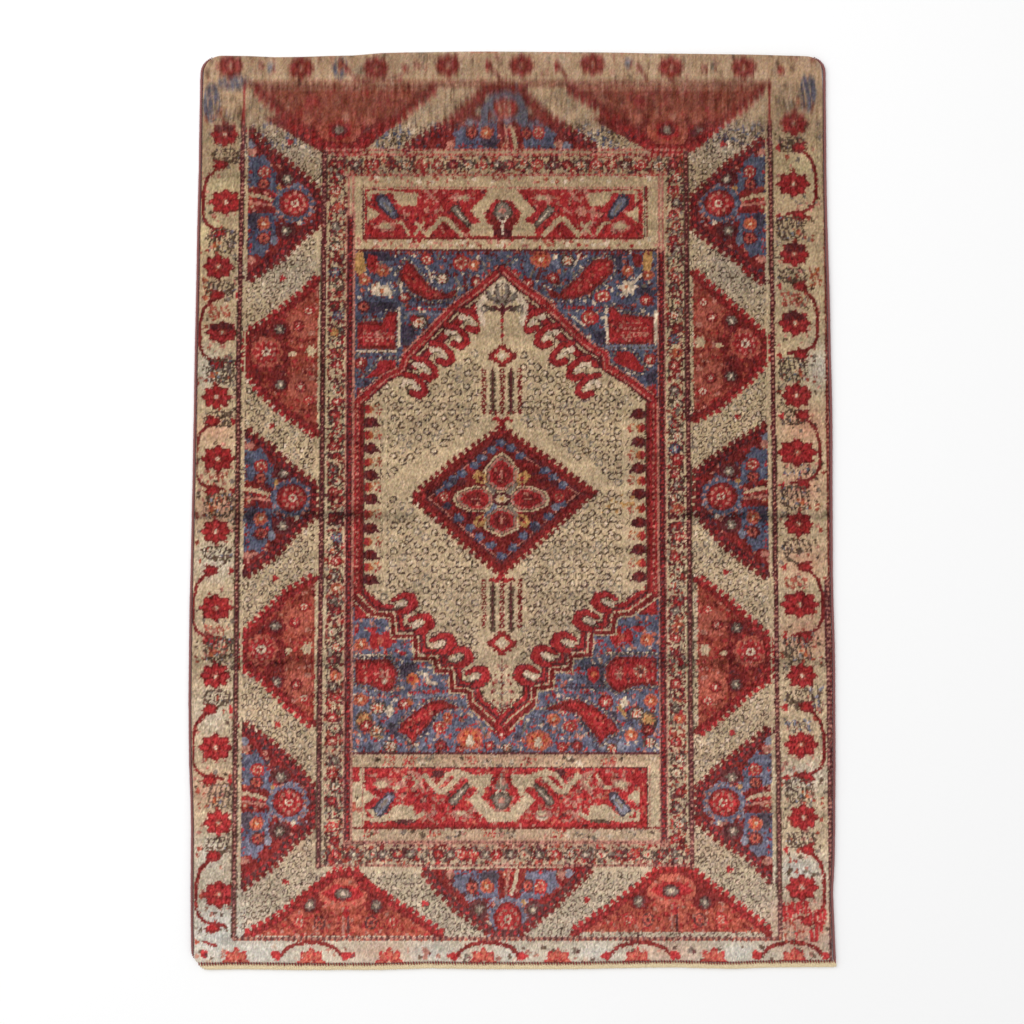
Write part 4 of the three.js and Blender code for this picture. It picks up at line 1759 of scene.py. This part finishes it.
def wrap_tree():
    """Turns of yarn laid side by side along a path."""
    tree = bpy.data.node_groups.get("Yarn Turns")
    if tree:
        return tree
    sizes = ("Pitch", "Across", "Along", "Height", "Lean", "Unevenness")
    tree, given, result = make_group(
        "Yarn Turns",
        "GeometryNodeTree",
        [
            ("Geometry", "NodeSocketGeometry"),
            *((label, "NodeSocketFloat") for label in sizes),
            ("Material", "NodeSocketMaterial"),
        ],
        [("Geometry", "NodeSocketGeometry")],
    )
    path = add_node(tree, "GeometryNodeMeshToCurve", {"Mesh": given["Geometry"]})
    spots = add_node(
        tree, "GeometryNodeCurveToPoints", {"Curve": path, "Length": given["Pitch"]}, mode="LENGTH"
    ).outputs
    turn = add_node(tree, "GeometryNodeMeshUVSphere", {"Segments": 8, "Rings": 5, "Radius": 0.5})
    level = add_node(tree, "FunctionNodeAlignRotationToVector", {"Vector": spots["Tangent"]}, axis="Y")
    lean = add_node(tree, "ShaderNodeCombineXYZ", {"Z": given["Lean"]})
    as_turn = add_node(tree, "FunctionNodeEulerToRotation", {0: lean})
    leaning = add_node(tree, "FunctionNodeRotateRotation", {0: level, 1: as_turn}, rotation_space="LOCAL")
    size = add_node(
        tree, "ShaderNodeCombineXYZ", {"X": given["Across"], "Y": given["Along"], "Z": given["Height"]}
    )
    least = add_node(tree, "ShaderNodeMath", {0: 1.0, 1: given["Unevenness"]}, operation="SUBTRACT")
    chance = add_node(
        tree, "FunctionNodeRandomValue", {2: least, 3: 1.0, "Seed": 5}, data_type="FLOAT"
    ).outputs[1]
    girth = add_node(
        tree, "GeometryNodeInputNamedAttribute", {"Name": "girth"}, data_type="FLOAT"
    ).outputs["Attribute"]
    worn = add_node(tree, "ShaderNodeMath", {0: girth, 1: chance}, operation="MULTIPLY")
    uneven = add_node(tree, "ShaderNodeVectorMath", {0: size, "Scale": worn}, operation="SCALE")
    laid = add_node(
        tree, "GeometryNodeInstanceOnPoints",
        {"Points": spots["Points"], "Instance": turn, "Rotation": leaning, "Scale": uneven},
    )
    real = add_node(tree, "GeometryNodeRealizeInstances", {0: laid})
    finish = add_node(tree, "GeometryNodeSetMaterial", {"Geometry": real, "Material": given["Material"]})
    wire(tree, result, {"Geometry": finish})
    return tree


def yarn_turns(name, path, material, thin, **sizes):
    """Yarn turns along a path in mm, thinner towards the ends named in thin, 0 or -1.

    The sizes, in metres, are the inputs of the node tree.
    """
    mesh = bpy.data.meshes.new(name)
    mesh.from_pydata((np.asarray(path) * MM).tolist(), [(k, k + 1) for k in range(len(path) - 1)], [])
    girth = mesh.attributes.new("girth", "FLOAT", "POINT")
    grown = np.ones(len(path))
    for end in thin:
        grown = np.minimum(grown, np.linalg.norm(path - path[end], axis=1) / TAPER)
    girth.data.foreach_set("value", THINNEST + (1 - THINNEST) * grown ** 0.7)
    piece = bpy.data.objects.new(name, mesh)
    bpy.context.collection.objects.link(piece)
    modifier = piece.modifiers.new("Turns", "NODES")
    tree = wrap_tree()
    modifier.node_group = tree
    sockets = {item.name: item.identifier for item in tree.interface.items_tree if item.in_out == "INPUT"}
    for label, size in sizes.items():
        modifier[sockets[label]] = float(size)
    modifier[sockets["Material"]] = material
    evaluated = piece.evaluated_get(bpy.context.evaluated_depsgraph_get())
    turned = bpy.data.meshes.new_from_object(evaluated)
    piece.modifiers.clear()
    piece.data = turned
    turned.name = name
    turned.polygons.foreach_set("use_smooth", np.ones(len(turned.polygons), bool))
    return piece


class DyeLot(bpy.types.PropertyGroup):
    """The colours of the wools."""

    __annotations__ = {
        name: bpy.props.FloatVectorProperty(
            name=name.title(), description=f"The {name} wool", subtype="COLOR_GAMMA",
            default=[level / 255 for level in colour], min=0, max=1,
        )
        for name, colour in WOOLS.items()
    }


def length(name, description, default, least=0.1):
    """A length, given in mm and kept in metres."""
    return bpy.props.FloatProperty(
        name=name, description=description, default=default * MM, min=least * MM, unit="LENGTH"
    )


class RugSizes(bpy.types.PropertyGroup):
    """The sizes of the knots and of the sewn edges."""

    knot_wide: length("Knot width", "Between knots across the rug", 2.25, 1.5)
    knot_high: length("Knot height", "Between rows of knots", 2.35, 1.5)
    pile_top: length("Pile", "Floor to the tips of the pile", 8.0)
    pile_edge: length("Pile at the edge", "Floor to the tips at the rug's very edge", 4.0)
    pile_round: length("Lean", "How far in from the edge the pile leans over", 5.0)
    tuft_relief: length("Tuft relief", "How uneven the tufts are", 0.4)
    foundation: length("Foundation", "Thickness of the warps and wefts", 3.2)
    wrap_pitch: length("Selvedge turn", "Between turns of the side wrapping", 4.2)
    rib_pitch: length("Binding rib", "Between ribs of the end binding", 4.0)
    bands: bpy.props.IntProperty(
        name="Bands", description="Pieces that the pile is made in", default=5, min=1
    )


def dyes_of(lot):
    """The wools' colours from 0 to 255, in the order in which a knot names them."""
    return [[level * 255 for level in getattr(lot, name)] for name in WOOLS]


def box_of(node):
    """A CAD node's lowest and highest corners, in mm."""
    return [np.array(corner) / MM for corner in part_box(node)]


def seam(node, axis, count):
    """The line along the middle of a sewn edge in mm, its two sides, and its width and height in metres."""
    low, high = box_of(node)
    along_it = np.linspace(low[axis] + SEAM_END, high[axis] - SEAM_END, count)
    sides = reach(node, axis, along_it)
    path = np.column_stack([along_it, sides.mean(0), np.full(count, (low[2] + high[2]) / 2)])
    if axis == 1:
        path = path[:, [1, 0, 2]]
    return path, sides, np.median(sides[1] - sides[0]) * MM, (high[2] - low[2]) * MM


# How high over the floor the pile's slabs start, in mm
PILE_FOOT = 2.6

# The design's back: how much weaker than the pile's its colours are, and how much paler
BACK_SHARE = 0.8
BACK_PALER = 34

# The foundation has a point for so many knots each way, and its last ones move out to the edge
WEAVE_STEP = 4
LAST_WEFT = 9.5


class RUG_OT_pile(bpy.types.Operator):
    """Knots the pile, in bands that meet edge to edge"""

    bl_idname = "rug.pile"
    bl_label = "Knot the pile"

    def execute(self, context):
        sizes, lot = context.scene.rug_sizes, context.scene.rug_dyes
        x, y = grid(sizes.knot_wide / MM, sizes.knot_high / MM)
        colours = knotted(x, y, dyes_of(lot))
        fit_x, fit_y, inside = Outline().fit(x, y, 1.2)
        rng = np.random.default_rng(7)
        lean = (1 - inside / (sizes.pile_round / MM)).clip(0, 1)
        fall = lean * lean
        top, edge = sizes.pile_top / MM, sizes.pile_edge / MM
        tufts = rng.uniform(-0.5, 0.5, x.shape) * sizes.tuft_relief / MM
        tufts += 0.2 * smooth_noise(rng, x.shape, (40, 30))
        height = (top + tufts) * (1 - fall) + edge * fall
        material = wool_material("pile_wool_knots", (0.5, 0.3, 0.2), 700, 260, 0.22, 0.0012, "dye")
        cuts = np.linspace(0, len(x) - 1, sizes.bands + 1).astype(int)
        for number, (low, high) in enumerate(zip(cuts, cuts[1:]), 1):
            part = slice(low, high + 1)
            piece = closed_slab(
                f"pile_band_{number}", fit_x[part], fit_y[part], height[part], PILE_FOOT, colours[part]
            )
            piece.data.materials.append(material)
            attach(piece, "root")
            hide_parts("rug_body")
        return {"FINISHED"}


class RUG_OT_foundation(bpy.types.Operator):
    """Weaves the warps and wefts that the pile stands on, with the design's back"""

    bl_idname = "rug.foundation"
    bl_label = "Weave the foundation"

    def execute(self, context):
        sizes, lot = context.scene.rug_sizes, context.scene.rug_dyes
        x, y = grid(sizes.knot_wide / MM, sizes.knot_high / MM)
        colours = knotted(x, y, dyes_of(lot)) * BACK_SHARE + BACK_PALER
        x, y, colours = (values[::WEAVE_STEP, ::WEAVE_STEP] for values in (x, y, colours))
        high = box_of("rug_body")[1]
        x = np.where(x > high[0] - LAST_WEFT, high[0], x)
        y = np.where(y > high[1] - LAST_WEFT, high[1], y)
        fit_x, fit_y, inside = Outline().fit(x, y, 1.8)
        rng = np.random.default_rng(9)
        under = 0.25 * rng.random(x.shape)
        under[inside < 0.1] = 0
        thick = sizes.foundation / MM
        piece = closed_slab("rug_ground", fit_x, fit_y, thick - under, 0.0, colours)
        turn_over(piece, thick)
        material = wool_material("foundation_wool", (0.5, 0.35, 0.28), 500, 500, 0.2, 0.001, "dye")
        piece.data.materials.append(material)
        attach(piece, "root")
        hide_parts("rug_body")
        low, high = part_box("rug_body")
        return {"FINISHED"}


def turn_over(piece, thick):
    """Turns a slab over, so that its worked face is its underside."""
    mesh = piece.data
    points = np.empty(len(mesh.vertices) * 3)
    mesh.vertices.foreach_get("co", points)
    points = points.reshape(-1, 3)
    points[:, 2] = thick * MM - points[:, 2]
    mesh.vertices.foreach_set("co", points.ravel())
    mesh.flip_normals()
    mesh.update()


class RUG_OT_selvedges(bpy.types.Operator):
    """Overcasts both sides with maroon wool"""

    bl_idname = "rug.selvedges"
    bl_label = "Wrap the selvedges"

    def execute(self, context):
        pitch = context.scene.rug_sizes.wrap_pitch
        material = wool_material("selvedge_wool_wrap", linear((0.56, 0.37, 0.36)), 900, 900, 0.4, 0.001)
        for side, thin in (("left", (0, -1)), ("right", (-1,))):
            node, name = f"selvedge_{side}", f"selvedge_wrap_{side}"
            path, _, wide, high = seam(node, 1, 240)
            piece = yarn_turns(
                name, path, material, thin,
                Pitch=pitch, Across=wide, Along=pitch * 1.7, Height=high, Lean=0.25, Unevenness=0.12,
            )
            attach(piece, "root")
            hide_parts(node)
        return {"FINISHED"}


class RUG_OT_binding(bpy.types.Operator):
    """Sews the ribbed binding over the bottom end, with its row of stitches"""

    bl_idname = "rug.binding"
    bl_label = "Sew the end binding"

    def execute(self, context):
        pitch = context.scene.rug_sizes.rib_pitch
        path, sides, wide, high = seam("end_binding", 0, 300)
        cream = wool_material("binding_yarn_ribs", linear((0.9, 0.82, 0.67)), 500, 900, 0.42, 0.0014)
        ribs = yarn_turns(
            "binding_ribs", path, cream, (0,),
            Pitch=pitch, Across=wide, Along=pitch * 1.6, Height=high, Lean=0.12, Unevenness=0.1,
        )
        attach(ribs, "root")
        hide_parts("end_binding")
        row = np.column_stack([path[:, 0], sides[1] - 0.3, np.full(len(path), 6.6)])
        red = wool_material("hem_stitch_wool", linear((0.56, 0.2, 0.22)), 900, 900, 0.3, 0.001)
        stitches = yarn_turns(
            "hem_stitches", row, red, (),
            Pitch=0.0052, Across=0.0095, Along=0.0024, Height=0.0034, Lean=0.15, Unevenness=0.4,
        )
        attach(stitches, "root")
        return {"FINISHED"}


# How far the floor runs each way, in mm
FLOOR = 9000

# Where the lamp and the camera stand, in metres, and how many degrees the camera tilts from straight down
LAMP_PLACE = (-2.2, 1.6, 2.8)
EYE_PLACE = (0, -0.1355, 2.595)
EYE_TILT = 2.65


class RUG_OT_stage(bpy.types.Operator):
    """Sets the floor, the light and the camera"""

    bl_idname = "rug.stage"
    bl_label = "Set the stage"

    def execute(self, context):
        scene = context.scene
        scene.view_settings.view_transform = "Standard"
        world = bpy.data.worlds.new("Studio")
        world.use_nodes = True
        wire(world.node_tree, world.node_tree.nodes["Background"], {"Color": (1, 1, 1, 1), "Strength": 0.8})
        scene.world = world
        lamp = bpy.data.lights.new("softbox", "AREA")
        lamp.shape = "RECTANGLE"
        lamp.size = 3.0
        lamp.size_y = 3.0
        lamp.energy = 60
        box = bpy.data.objects.new("softbox", lamp)
        box.location = LAMP_PLACE
        box.rotation_euler = (-Vector(box.location)).to_track_quat("-Z", "Y").to_euler()
        scene.collection.objects.link(box)
        corners = np.reshape(rectangle(-FLOOR, -FLOOR, FLOOR, FLOOR), (4, 2))
        floor = new_piece("floor", np.column_stack([corners, np.full(4, -0.5)]), [(0, 1, 2, 3)])
        paint = bpy.data.materials.new("pale_floor")
        paint.use_nodes = True
        shader = paint.node_tree.nodes["Principled BSDF"]
        wire(paint.node_tree, shader, {"Base Color": (0.985, 0.985, 0.985, 1), "Roughness": 0.9})
        floor.data.materials.append(paint)
        eye = bpy.data.cameras.new("eye")
        eye.sensor_width = 36.0
        eye.lens = 47.39
        camera = bpy.data.objects.new("eye", eye)
        camera.location = EYE_PLACE
        camera.rotation_euler = (np.radians(EYE_TILT), 0, 0)
        scene.collection.objects.link(camera)
        scene.camera = camera
        return {"FINISHED"}


class RUG_PT_panel(bpy.types.Panel):
    """The rug's steps, in the order they are made"""

    bl_label = "Oushak rug"
    bl_space_type = "VIEW_3D"
    bl_region_type = "UI"
    bl_category = "Rug"

    def draw(self, context):
        for operator in STEPS:
            self.layout.operator(operator.bl_idname)
        for settings in (context.scene.rug_sizes, context.scene.rug_dyes):
            for name in settings.bl_rna.properties.keys():
                if name not in ("rna_type", "name"):
                    self.layout.prop(settings, name)


STEPS = (RUG_OT_stage, RUG_OT_pile, RUG_OT_selvedges, RUG_OT_binding, RUG_OT_foundation)
CLASSES = (DyeLot, RugSizes, *STEPS, RUG_PT_panel)


def register():
    for cls in CLASSES:
        bpy.utils.register_class(cls)
    bpy.types.Scene.rug_sizes = bpy.props.PointerProperty(type=RugSizes)
    bpy.types.Scene.rug_dyes = bpy.props.PointerProperty(type=DyeLot)


def unregister():
    del bpy.types.Scene.rug_dyes
    del bpy.types.Scene.rug_sizes
    for cls in reversed(CLASSES):
        bpy.utils.unregister_class(cls)


def main():
    register()
    for operator in STEPS:
        family, name = operator.bl_idname.split(".")
        getattr(getattr(bpy.ops, family), name)()


if __name__ == "__main__":
    main()
